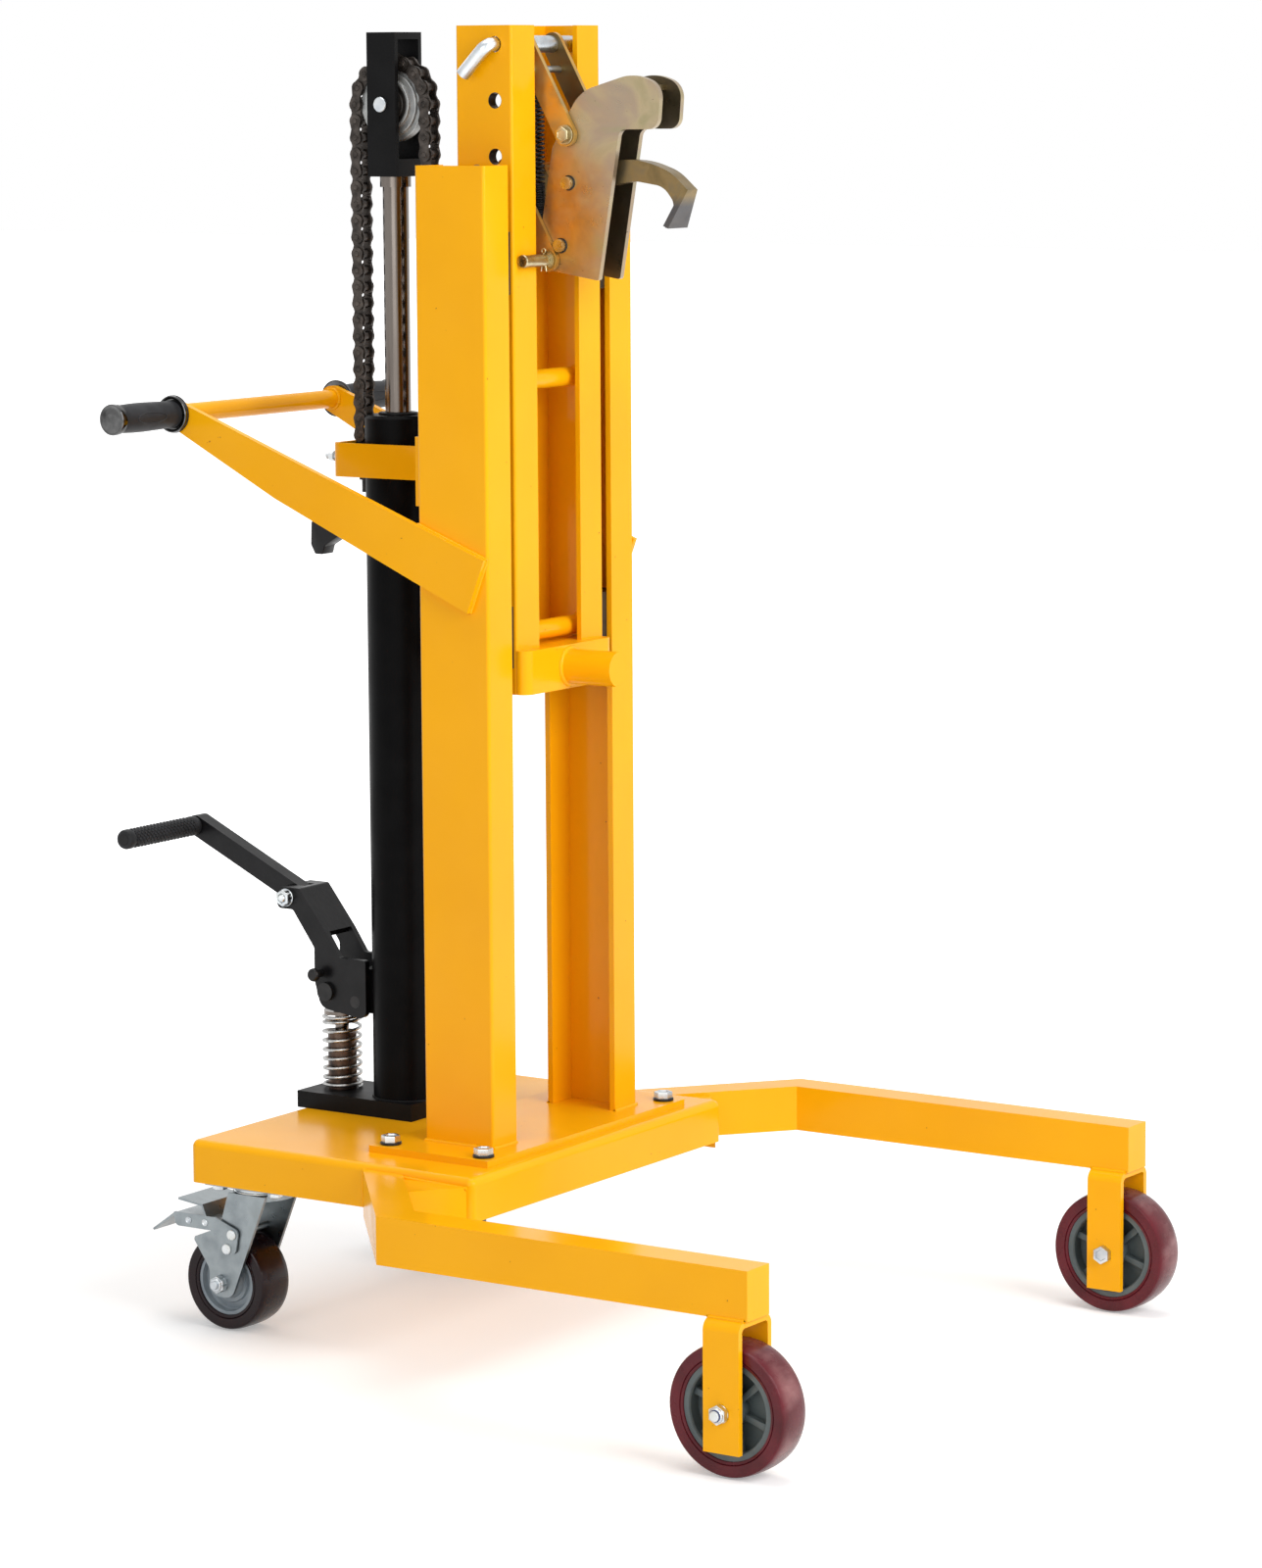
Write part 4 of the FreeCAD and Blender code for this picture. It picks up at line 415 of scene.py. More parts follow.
settle(base_washers, black_oxide, "black_paint", "chassis")


# Hand grips: moulded black rubber barrels with an oval outline, pushed over the ends of the handle tube.
# A chrome flange ring sits against each arm and a domed chrome cap closes each end.

def oval_line(target, centre, tall, wide, wire):
    """Raised oval line laid on a round piece: a loop shrunk on to its surface and given a round section."""
    loop = made(bpy.ops.mesh.primitive_circle_add, (tall / 2, wide / 2, 1), vertices=48, radius=1,
                location=centre, rotation=(0, math.pi / 2, 0))
    wrap = loop.modifiers.new("lay_on", "SHRINKWRAP")
    wrap.target = target
    bpy.ops.object.modifier_apply(modifier="lay_on")
    bpy.ops.object.convert(target="CURVE")
    loop.data.bevel_depth = wire
    loop.data.bevel_resolution = 1
    bpy.ops.object.convert(target="MESH")
    return close_up(bpy.context.object, 60)


grip_rubber = mottled(
    "grip_rubber", grain=(50, 4), rough_grain=(40, 3), rough=(0.46, 0.6), Specular_IOR_Level=0.2,
    tones=((0.3, (28, 29, 31)), (0.7, (44, 45, 48))))
relief(grip_rubber, 700, 3, 0.15, 0.0005)
dress(grip_rubber, "hand_grips", "pedal_grip")

grip_chrome = mottled(
    "grip_chrome", grain=(60, 3), rough_grain=(90, 3), rough=(0.05, 0.14), Metallic=1.0,
    tones=((0.3, (64, 64, 64)), (0.7, (108, 108, 108))))
dress(grip_chrome, "grip_trims")

grips = []
trims = []
trim_edges = []
for side in (1, -1):
    out = (0, side, 0)
    arm_face = (bar_x, side * arm_high.y, bar_z)
    barrel = turned("grip_barrel", [
        (0.0042, 0.0112), (0.0042, 0.0150), (0.0060, 0.0156), (0.0200, 0.0158), (0.0400, 0.0164),
        (0.0600, 0.0169), (0.0800, 0.0168), (0.0980, 0.0161), (0.1060, 0.0157), (0.1090, 0.0152),
        (0.1090, 0.0112), (0.0042, 0.0112)], arm_face, out, 48)
    for way in (1, -1):
        oval_at = (bar_x + way * 0.0168, side * (arm_high.y + 0.060), bar_z)
        grips.append(oval_line(barrel, oval_at, 0.013, 0.052, 0.0007))
    grips.append(barrel)
    trims.append(turned("grip_ring", [
        (0.0004, 0.0112), (0.0004, 0.0200), (0.0014, 0.0213), (0.0040, 0.0216), (0.0058, 0.0212),
        (0.0064, 0.0202), (0.0060, 0.0192), (0.0048, 0.0176), (0.0046, 0.0152), (0.0042, 0.0112),
        (0.0004, 0.0112)], arm_face, out, 48))
    trim_edges.append(turned("ring_edge", [
        (0.0012, 0.0208), (0.0008, 0.0219), (0.0022, 0.0220), (0.0026, 0.0210), (0.0012, 0.0208)],
        arm_face, out, 48))
    trims.append(turned("grip_cap", [
        (0.1060, 0.0160), (0.1060, 0.0172), (0.1068, 0.0178), (0.1120, 0.0180), (0.1138, 0.0176),
        (0.1146, 0.0164), (0.1144, 0.0150), (0.1148, 0.0120), (0.1150, 0.0060), (0.1150, 0)],
        arm_face, out, 48))
settle(joined("grip_barrels", grips), grip_rubber, "grip_rubber", "chassis", "hand_grips")
settle(joined("grip_rings_and_caps", trims), grip_chrome, "grip_chrome", "chassis", "grip_trims")
settle(joined("grip_ring_edges", trim_edges), black_oxide, "black_paint", "chassis")


# Hydraulic unit: pump block, cylinder, gland and bracket of steel, painted satin black.
# The cylinder is welded to its block; the gland is screwed in and has a wiper ring.
# A bleed screw sits below the gland, and a bolt with two nuts draws the strap tight round the cylinder.

black_paint = mottled(
    "black_paint", grain=(30, 5), rough_grain=(18, 4), rough=(0.34, 0.5), Specular_IOR_Level=0.1,
    tones=((0.35, (9, 9, 10)), (0.7, (17, 17, 18))))
relief(black_paint, 260, 4, 0.18, 0.0008)
dress(black_paint, "pump_block", "sheave_bracket")

tube_paint = mottled(
    "tube_paint", grain=(30, 5), rough_grain=(18, 4), rough=(0.3, 0.44), Specular_IOR_Level=0.04,
    tones=((0.35, (6, 6, 7)), (0.7, (12, 12, 13))))
relief(tube_paint, 260, 4, 0.12, 0.0006)
dress(tube_paint, "cylinder_tube", "cylinder_gland")

tube_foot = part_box("cylinder_tube")[0].z
gland_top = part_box("cylinder_gland")[1].z
ram_x = middle("cylinder_gland").x
bleed_at = (ram_x - 0.0088, -0.0375, 0.905)
unit_welds = [
    weld_ring((ram_x, 0, tube_foot), (0, 0, 1), 0.0389, 0.0015),
    turned("wiper_ring", [
        (-0.004, 0.0152), (-0.004, 0.0230), (0.0020, 0.0230), (0.0030, 0.0220), (0.0022, 0.0170),
        (0.0030, 0.0152), (-0.004, 0.0152)], (ram_x, 0, gland_top), (0, 0, 1), 48),
    hex_head(bleed_at, (-0.226, -0.974, 0), 0.009, 0.006)]
settle(joined("unit_welds_and_wiper", unit_welds), black_paint, "black_paint", "chassis")

strap_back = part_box("cylinder_strap")[0].x
strap_mid = middle("cylinder_strap").z
set_at = (strap_back, 0, strap_mid)
set_thread = [(0.0192 + 0.0006 * ring, 0.0036 if ring % 2 else 0.0040) for ring in range(8)]
set_bolt = [
    hex_head(set_at, (-1, 0, 0), 0.013, 0.006),
    hex_head((strap_back - 0.0125, 0, strap_mid), (-1, 0, 0), 0.011, 0.0065),
    turned("set_bolt_end", [(-0.001, 0), (-0.001, 0.0036), (0.0190, 0.0036)] + set_thread + [
        (0.0246, 0.0030), (0.0248, 0)], set_at, (-1, 0, 0), 20)]
settle(joined("strap_set_bolt", set_bolt), zinc_plate, "zinc_steel", "chassis")


# Foot pump: brown steel barrel and plunger inside a coiled return spring of bright drawn wire.
# The spring's ends are wound closed; it stands on the block and is pressed shorter by the plunger's seat.

def wound(radius, wire, rise, turns, foot):
    """Wire wound round a vertical axis: a small ring carried up and round by the Screw modifier."""
    piece = made(bpy.ops.mesh.primitive_circle_add, vertices=10, radius=wire / 2, location=(radius, 0, 0),
                 rotation=(math.pi / 2, 0, 0))
    winding = piece.modifiers.new("winding", "SCREW")
    winding.axis = "Z"
    winding.angle = 2 * math.pi * turns
    winding.screw_offset = rise
    winding.steps = round(28 * turns)
    winding.render_steps = round(28 * turns)
    bpy.ops.object.modifier_apply(modifier="winding")
    piece.location = foot
    apply_place(piece)
    open_up()
    bpy.ops.mesh.fill_holes(sides=0)
    return close_up(piece, 40)


ram_chrome = mottled(
    "ram_chrome", grain=(40, 3, (1, 1, 0.1)), rough_grain=(300, 2, (1, 1, 0.05)), rough=(0.12, 0.24),
    Metallic=1.0, tones=((0.3, (94, 86, 80)), (0.7, (122, 115, 109))))
dress(ram_chrome, "ram_rod", "plunger")

barrel_steel = mottled(
    "barrel_steel", grain=(60, 5, (1, 1, 0.4)), rough_grain=(90, 3), rough=(0.34, 0.55), Metallic=0.7,
    tones=((0.3, (38, 30, 26)), (0.5, (86, 66, 54)), (0.72, (122, 104, 92))))
dress(barrel_steel, "pump_barrel")

spring_wire = mottled(
    "spring_wire", grain=(200, 3), rough_grain=(160, 2), rough=(0.22, 0.38), Metallic=1.0,
    tones=((0.3, (150, 150, 150)), (0.7, (202, 202, 200))))
dress(spring_wire, "pump_spring")

coil_low, coil_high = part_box("pump_spring")
pump_x = middle("pump_spring").x
coil_wire = 0.0040
coil_radius = 0.0220
coil_foot = coil_low.z + coil_wire / 2
coil_rise = coil_high.z - coil_low.z - coil_wire
end_rise = coil_wire * 1.02
pump_coil = joined("pump_coil", [
    wound(coil_radius, coil_wire, end_rise, 1, (pump_x, 0, coil_foot)),
    wound(coil_radius, coil_wire, coil_rise - 2 * end_rise, 7, (pump_x, 0, coil_foot + end_rise)),
    wound(coil_radius, coil_wire, end_rise, 1, (pump_x, 0, coil_foot + coil_rise - end_rise))])
settle(pump_coil, spring_wire, "spring_steel", "chassis", "pump_spring")
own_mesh(pump_coil)


# Lever, pedal arm and release lever: cast and welded steel in gloss black, with black headed pins.
# A bright washer, nut and bolt end on each side hold the pedal's arm.
# The release lever is a curved toe between two cheeks, cut from plate and pinned to the cylinder.

def cut_plate(name, outline, near, far, edge):
    """Plate across the sideways axis: its outline is drawn, filled, thickened and rounded at its edges."""
    plate = drawn(name, [Vector((x, near, z)) for x, z in outline])
    bpy.ops.mesh.edge_face_add()
    bpy.ops.mesh.select_all(action="SELECT")
    bpy.ops.mesh.extrude_region_move(TRANSFORM_OT_translate={"value": (0, far - near, 0)})
    bpy.ops.mesh.select_all(action="SELECT")
    bpy.ops.mesh.bevel(offset=edge, segments=2, affect="EDGES")
    return close_up(plate, 30)


lever_paint = mottled(
    "lever_paint", grain=(40, 5), rough_grain=(30, 4), rough=(0.26, 0.42), Specular_IOR_Level=0.2,
    tones=((0.35, (9, 9, 11)), (0.7, (21, 21, 23))))
relief(lever_paint, 180, 4, 0.2, 0.0008)
dress(lever_paint, "lever_casting", "pedal_arm", "release_lever")

lever_steel = mottled(
    "lever_steel", grain=(50, 4), rough_grain=(60, 3), rough=(0.3, 0.45), Metallic=0.5,
    tones=((0.3, (18, 18, 19)), (0.7, (44, 43, 43))))
dress(lever_steel, "lever_pins")

release_toe = (
    (-0.304, 0.948), (-0.330, 0.946), (-0.352, 0.938), (-0.362, 0.924), (-0.363, 0.898), (-0.357, 0.887),
    (-0.346, 0.887), (-0.343, 0.897), (-0.336, 0.901), (-0.325, 0.908), (-0.313, 0.921), (-0.304, 0.931))
release_cheek = ((-0.282, 0.949), (-0.312, 0.949), (-0.312, 0.931), (-0.282, 0.931))
cheek_near, cheek_far = 0.0058, 0.0130
plate_edge = 0.0014
release_parts = [
    cut_plate("release_toe", release_toe, -0.011, 0.011, plate_edge),
    cut_plate("release_cheek", release_cheek, cheek_near, cheek_far, plate_edge),
    cut_plate("release_cheek", release_cheek, -cheek_far, -cheek_near, plate_edge),
    turned("release_pin", [
        (-0.016, 0), (-0.016, 0.0022), (-0.0152, 0.0030), (0.0152, 0.0030), (0.016, 0.0022), (0.016, 0)],
        (-0.291, 0, 0.940), (0, 1, 0), 20)]
settle(joined("release_handle", release_parts), lever_paint, "black_paint", "release_lever", "release_lever")

lever_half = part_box("lever_casting")[1].y
pedal_x, pedal_z = -0.393, 0.478
washer_rise = 0.0018
pedal_nuts = []
for side in (1, -1):
    out = (0, side, 0)
    seat = (pedal_x, side * (lever_half + 0.0003), pedal_z)
    nut_seat = (pedal_x, seat[1] + side * washer_rise, pedal_z)
    pedal_nuts += [
        turned("pedal_washer", [
            (0, 0.0052), (0, 0.0105), (0.0015, 0.0105), (washer_rise, 0.0100), (washer_rise, 0.0052),
            (0, 0.0052)], seat, out),
        hex_head(nut_seat, out, 0.0176, 0.0074),
        turned("pedal_bolt_end", [
            (0, 0.0050), (0.0090, 0.0050), (0.0104, 0.0042), (0.0108, 0.0036), (0.0104, 0)], seat, out, 20)]
settle(joined("pedal_nuts", pedal_nuts), zinc_plate, "zinc_steel", "pump_lever")


# Pedal grip: black rubber sleeve on the pedal's rod, moulded with raised diamonds.
# A round sleeve is cut into diamonds, each drawn out as a flat-topped boss, between two plain ends.

sleeve_low, sleeve_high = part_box("pedal_grip")
sleeve_at = (middle("pedal_grip").x, sleeve_low.y, middle("pedal_grip").z)
sleeve_long = sleeve_high.y - sleeve_low.y
plain_end = 0.012
rows = 36
row_pitch = (sleeve_long - 2 * plain_end) / rows
knurl = turned("pedal_knurl", [(plain_end + row_pitch * row, 0.0108) for row in range(rows + 1)],
               sleeve_at, (0, 1, 0), 20)
open_up()
bpy.ops.mesh.unsubdivide(iterations=1)
bpy.ops.mesh.select_all(action="SELECT")
bpy.ops.mesh.inset(thickness=0.0006, use_individual=True)
bpy.ops.mesh.inset(thickness=0.0004, depth=0.0012, use_individual=True)
bpy.ops.object.mode_set(mode="OBJECT")
bpy.ops.object.shade_flat()
near_end = [
    (0.0005, 0.0072), (0.0005, 0.0090), (0.0015, 0.0108), (0.0040, 0.0118), (0.0100, 0.0119),
    (0.0118, 0.0112), (plain_end, 0.0106)]
far_end = [
    (plain_end, 0.0106), (0.0118, 0.0112), (0.0100, 0.0119), (0.0030, 0.0118), (0.0008, 0.0108),
    (0.0005, 0.0084), (0.0005, 0.0072)]
sleeve_line = near_end + [(sleeve_long - step, radius) for step, radius in far_end] + near_end[:1]
sleeve_ends = turned("pedal_sleeve", sleeve_line, sleeve_at, (0, 1, 0), 40)
settle(joined("pedal_sleeve", [sleeve_ends, knurl]), grip_rubber, "grip_rubber", "pedal", "pedal_grip")


# Sheave and bracket fittings: a turned grey wheel in the black bracket, on a bright pin.
# Its sides are stepped in rings round a greased middle; a black collar closes the rod's top.

def reach(finish, stretch, centre=(0, 0, 0)):
    """Distance from a centre, along the axes that the stretch keeps."""
    length = shading(finish, "VectorMath", Vector=placed(finish, stretch, centre))
    length.operation = "LENGTH"
    return length.outputs["Value"]


def between(finish, value, near, far, first, last):
    """Goes from a first to a last number while a value goes from near to far."""
    return shading(finish, "MapRange", Value=value, From_Min=near, From_Max=far, To_Min=first,
                   To_Max=last).outputs["Result"]


def combined(finish, one, other, operation="MULTIPLY"):
    """One share from two: their product where both are needed, or as the operation says."""
    step = shading(finish, "Math")
    step.operation = operation
    feed(finish, step.inputs[0], one)
    feed(finish, step.inputs[1], other)
    return step.outputs[0]


wheel_low, wheel_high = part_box("sheave")
sheave_at = (ram_x, 0, middle("sheave").z)
rim = (wheel_high.z - wheel_low.z) / 2
hub_half = wheel_high.y

sheave_steel = mottled(
    "sheave_steel", grain=(60, 3), rough_grain=(120, 3), rough=(0.42, 0.52), Metallic=0.6,
    tones=((0.3, (150, 152, 152)), (0.7, (180, 182, 180))))
greased = between(sheave_steel, reach(sheave_steel, (1, 0, 1), sheave_at), 0.0245, 0.0265, 1, 0)
blotched(sheave_steel, colour(44, 41, 38), greased)
dress(sheave_steel, "sheave")

half_line = [
    (0.0058, rim), (0.0062, rim - 0.0008), (0.0062, rim - 0.0050), (0.0088, rim - 0.0062),
    (0.0092, rim - 0.0072), (0.0092, rim - 0.0130), (0.0120, rim - 0.0142), (0.0124, rim - 0.0152),
    (0.0124, 0.0205), (0.0130, 0.0195), (hub_half - 0.0010, 0.0195), (hub_half, 0.0185), (hub_half, 0.0082)]
sheave_line = [(-step, radius) for step, radius in reversed(half_line)] + half_line
turned_sheave = turned("turned_sheave", sheave_line + sheave_line[:1], sheave_at, (0, 1, 0), 64, 20)
settle(turned_sheave, sheave_steel, "sheave_grey", "sheave", "sheave")

bracket_low, bracket_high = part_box("sheave_bracket")
collar = turned("bracket_collar", [
    (0, 0.0152), (0, 0.0168), (-0.0050, 0.0172), (-0.0064, 0.0164), (-0.0064, 0.0152), (0, 0.0152)],
    (ram_x, 0, bracket_low.z), (0, 0, 1), 40)
settle(collar, black_paint, "black_paint", "ram")

cap_line = [(0, 0.0082), (0.0008, 0.0086), (0.0034, 0.0086), (0.0042, 0.0078), (0.0044, 0.0060), (0.0042, 0)]
pin_caps = []
for side in (1, -1):
    cap_seat = (ram_x, side * bracket_high.y, sheave_at[2])
    pin_caps.append(turned("sheave_pin_cap", cap_line, cap_seat, (0, side, 0), 32))
settle(joined("sheave_pin_caps", pin_caps), zinc_plate, "zinc_steel", "ram")


# Lift chain: roller chain of dark oiled steel, from the strap's stud over the sheave down to the carriage.
# An outer link is two waisted plates with riveted pins, an inner link two plates on two rollers.
# Each is modelled once and copied along the pins.

pitch = 0.01905
plate_thick = 0.0024
inside = 0.012573
inside_half = inside / 2
rear_links, wrap_links, front_links = 20, 8, 33
chain_radius = pitch / (2 * math.sin(math.pi / (2 * wrap_links)))


def link_plate(tall, near):
    """Link plate up from the origin: a slip with round ends, drawn in at the waist and thickened."""
    plate = made(bpy.ops.mesh.primitive_plane_add, (tall, pitch + tall, 1), size=1,
                 location=(0, near, pitch / 2), rotation=(math.pi / 2, 0, 0))
    open_up()
    bpy.ops.mesh.bevel(offset=tall * 0.49, segments=4, affect="VERTICES")
    bpy.ops.mesh.select_all(action="SELECT")
    bpy.ops.mesh.bisect(plane_co=(0, 0, pitch / 2), plane_no=(0, 0, 1))
    bpy.ops.transform.resize(value=(0.68, 1, 1))
    bpy.ops.mesh.select_all(action="SELECT")
    bpy.ops.mesh.extrude_region_move(TRANSFORM_OT_translate={"value": (0, plate_thick, 0)})
    return close_up(plate, 30)


def pin_head(place, way):
    """Riveted end of a chain pin with the ring that is pressed up round it."""
    return turned("pin_head", [
        (0, 0.0049), (0.0004, 0.0046), (0.0004, 0.0035), (0.0001, 0.0033), (0.0009, 0.0029), (0.0012, 0)],
        place, (0, way, 0), 12, 25)


def chain_run(name, first, last):
    """Stretch of the chain between two of its pins, outer and inner links in turn."""
    links = []
    for i in range(first, last):
        way = chain_pins[i + 1] - chain_pins[i]
        links.append(copy_of((outer_link, inner_link)[i % 2], chain_pins[i], math.atan2(way.x, way.z)))
    return joined(name, links)


chain_steel = mottled(
    "chain_steel", grain=(120, 4), rough_grain=(90, 3), rough=(0.3, 0.46), Metallic=0.7,
    tones=((0.3, (40, 36, 33)), (0.7, (84, 77, 72))))
dress(chain_steel, "chain_rear", "chain_wrap", "chain_front")

outer_near = inside_half + plate_thick + 0.0002
outer_face = outer_near + plate_thick
outer_parts = [link_plate(0.0156, outer_near), link_plate(0.0156, -outer_face)]
inner_parts = [link_plate(0.0181, inside_half), link_plate(0.0181, -inside_half - plate_thick)]
for up in (0, pitch):
    outer_parts += [pin_head((0, way * outer_face, up), way) for way in (1, -1)]
    inner_parts.append(turned("link_roller", [
        (0, 0.0028), (0, 0.0056), (0.0004, 0.0059), (inside - 0.0004, 0.0059), (inside, 0.0056),
        (inside, 0.0028), (0, 0.0028)], (0, -inside_half, up), (0, 1, 0), 14))
outer_link = joined("outer_link", outer_parts)
inner_link = joined("inner_link", inner_parts)

rear_x = ram_x - chain_radius
front_x = ram_x + chain_radius
chain_pins = [Vector((rear_x, 0, sheave_at[2] - pitch * (rear_links - i))) for i in range(rear_links)]
for i in range(wrap_links):
    turn = math.pi - i * math.pi / wrap_links
    chain_pins.append(Vector(sheave_at) + chain_radius * Vector((math.cos(turn), 0, math.sin(turn))))
chain_pins += [Vector((front_x, 0, sheave_at[2] - pitch * i)) for i in range(front_links + 1)]

front_start = rear_links + wrap_links
rear_run = chain_run("rear_chain_run", 0, rear_links)
wrap_run = chain_run("wrap_chain_run", rear_links, front_start)
front_run = chain_run("front_chain_run", front_start, front_start + front_links)
for pattern in (outer_link, inner_link):
    bpy.data.objects.remove(pattern)
settle(rear_run, chain_steel, "chain_steel", "chassis", "chain_rear")
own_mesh(rear_run)
settle(wrap_run, chain_steel, "chain_steel", "ram", "chain_wrap")
coat(front_run, chain_steel)
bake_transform(front_run)
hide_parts("chain_front")


# Slide pads: dark nylon blocks between the carriage and the mast channels.
# They are cut from bar, pressed into the carriage and left bare.

pad_nylon = new_finish("pad_nylon")
surface(pad_nylon, Base_Color=ramp(pad_nylon, noise(pad_nylon, 60, 3), (
    (0.3, (30, 26, 20)), (0.7, (48, 42, 34)))))
dress(pad_nylon, "carriage_pads")


# Gripper plates: yellow passivated zinc on steel plate, grey and rose at the top and gold at the lower back.
# The plates are flame cut, the links gold and the cast jaw an oily olive; painted shade darkens their inner
# faces and the jaw's foot.

gold_zinc = mottled(
    "gold_zinc", grain=(16, 4, (1, 1, 1), 0.6), rough_grain=(60, 4), rough=(0.26, 0.42), Metallic=0.75,
    tones=((0.3, (146, 140, 106)), (0.45, (170, 156, 126)), (0.56, (158, 142, 124)),
           (0.7, (148, 147, 114))))
gold_tone = ramp(gold_zinc, noise(gold_zinc, 26, 4, warp=0.6), (
    (0.3, (172, 120, 40)), (0.5, (190, 142, 62)), (0.7, (160, 120, 66))))
low_back = between(gold_zinc, reach(gold_zinc, (1, 0, 0.7), (-0.002, 0, 1.285)), 0.030, 0.080, 0.95, 0.06)
gold_patch = ramp(gold_zinc, noise(gold_zinc, 20, 3), ((0.36, 0.35), (0.58, 1)))
blotched(gold_zinc, gold_tone, combined(gold_zinc, low_back, gold_patch))
marks = ramp(gold_zinc, noise(gold_zinc, 120, 2, (1, 1, 2.2)), ((0.70, 0), (0.74, 0.6)))
blotched(gold_zinc, colour(70, 54, 34), marks)
# Painted shade on the plates' inner faces, between the two plates.
plate_inner_face_shade = between(gold_zinc, reach(gold_zinc, (0, 1, 0)), 0.0182, 0.0186, 0.8, 0)
blotched(gold_zinc, colour(54, 46, 30), plate_inner_face_shade)
relief(gold_zinc, 300, 3, 0.06, 0.0004)
dress(gold_zinc, "beak_plates")

link_gold = mottled(
    "link_gold", grain=(30, 4, (1, 1, 1), 0.5), rough_grain=(60, 4), rough=(0.26, 0.42), Metallic=0.75,
    tones=((0.3, (160, 136, 86)), (0.5, (196, 152, 70)), (0.7, (180, 154, 100))))
# Painted shade on the links' inner faces, between the two links.
link_inner_face_shade = between(link_gold, reach(link_gold, (0, 1, 0)), 0.0255, 0.0259, 0.8, 0)
blotched(link_gold, colour(84, 72, 48), link_inner_face_shade)
dress(link_gold, "upper_links", "lower_links")

jaw_zinc = mottled(
    "jaw_zinc", grain=(34, 4, (1, 1, 1), 0.4), rough_grain=(60, 4), rough=(0.28, 0.44), Metallic=0.7,
    tones=((0.3, (98, 84, 52)), (0.5, (128, 108, 70)), (0.7, (112, 100, 76))))
jaw_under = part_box("jaw")[0].z
# Painted shade: the jaw's foot is darkened to a blue-grey.
jaw_foot_shade = between(jaw_zinc, reach(jaw_zinc, (0, 0, 1), (0, 0, jaw_under)), 0.024, 0.036, 0.8, 0)
blotched(jaw_zinc, colour(62, 66, 76), jaw_foot_shade)
relief(jaw_zinc, 300, 3, 0.06, 0.0004)
dress(jaw_zinc, "jaw")

pin_zinc = mottled(
    "pin_zinc", grain=(60, 4), rough_grain=(90, 3), rough=(0.22, 0.36), Metallic=1.0,
    tones=((0.3, (158, 142, 104)), (0.7, (198, 188, 158))))
dress(pin_zinc, "beak_pins")


# Gripper spring: close-wound extension spring of dark oiled wire, between the cross bar and the link bolt.
# Its lower half lies coil on coil and its upper half is drawn open; a hook at each end holds it.

dark_wire = mottled(
    "dark_wire", grain=(200, 3), rough_grain=(160, 2), rough=(0.24, 0.4), Metallic=0.8,
    tones=((0.3, (26, 26, 27)), (0.7, (62, 62, 62))))
dress(dark_wire, "gripper_spring")

pull_low, pull_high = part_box("gripper_spring")
pull_x = middle("gripper_spring").x
pull_wire = 0.0026
pull_radius = (pull_high.x - pull_low.x - pull_wire) / 2
pull_foot, pull_top = 1.261, 1.430
tight = 0.060
tight_turns = round(tight / (pull_wire * 1.04))
open_turns = 22


def spring_hook(height, way):
    """End hook of the spring: a wire ring carried round most of a turn about the sideways axis."""
    hook = made(bpy.ops.mesh.primitive_circle_add, vertices=10, radius=pull_wire / 2,
                location=(pull_x + pull_radius, 0, height))
    open_up()
    bpy.ops.mesh.spin(steps=26, angle=-way * math.radians(300), center=(pull_x, 0, height), axis=(0, 1, 0))
    bpy.ops.mesh.select_all(action="SELECT")
    bpy.ops.mesh.fill_holes(sides=0)
    return close_up(hook, 40)


pull_coil = joined("gripper_coil", [
    wound(pull_radius, pull_wire, tight, tight_turns, (pull_x, 0, pull_foot)),
    wound(pull_radius, pull_wire, pull_top - pull_foot - tight, open_turns, (pull_x, 0, pull_foot + tight)),
    spring_hook(pull_top, 1),
    spring_hook(pull_foot, -1)])
coat(pull_coil, dark_wire)
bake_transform(pull_coil)
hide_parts("gripper_spring")


# Link fasteners: washers, nuts, spring clips and split pins of yellow zinc on the gripper's pins.
# The rivets have turned heads ringed with dark rings of painted shade, the lock pin's sleeve is bright, and
# the free holes are lined with dark rings of painted shade.

def split_pin(place):
    """Split pin: a wire eye above a pin and its two legs below."""
    place = Vector(place)
    eye = made(bpy.ops.mesh.primitive_torus_add, location=place + Vector((0, 0, 0.0105)),
               rotation=(math.pi / 2, 0, 0), major_radius=0.0024, minor_radius=0.0009, major_segments=20,
               minor_segments=8)
    close_up(eye, 60)
    legs = [weld_run(place + Vector((0, 0, 0.008)), place + Vector((lean, 0, -0.0125)), 0.0009)
            for lean in (0.0036, -0.0036)]
    return joined("split_pin", [eye] + legs)


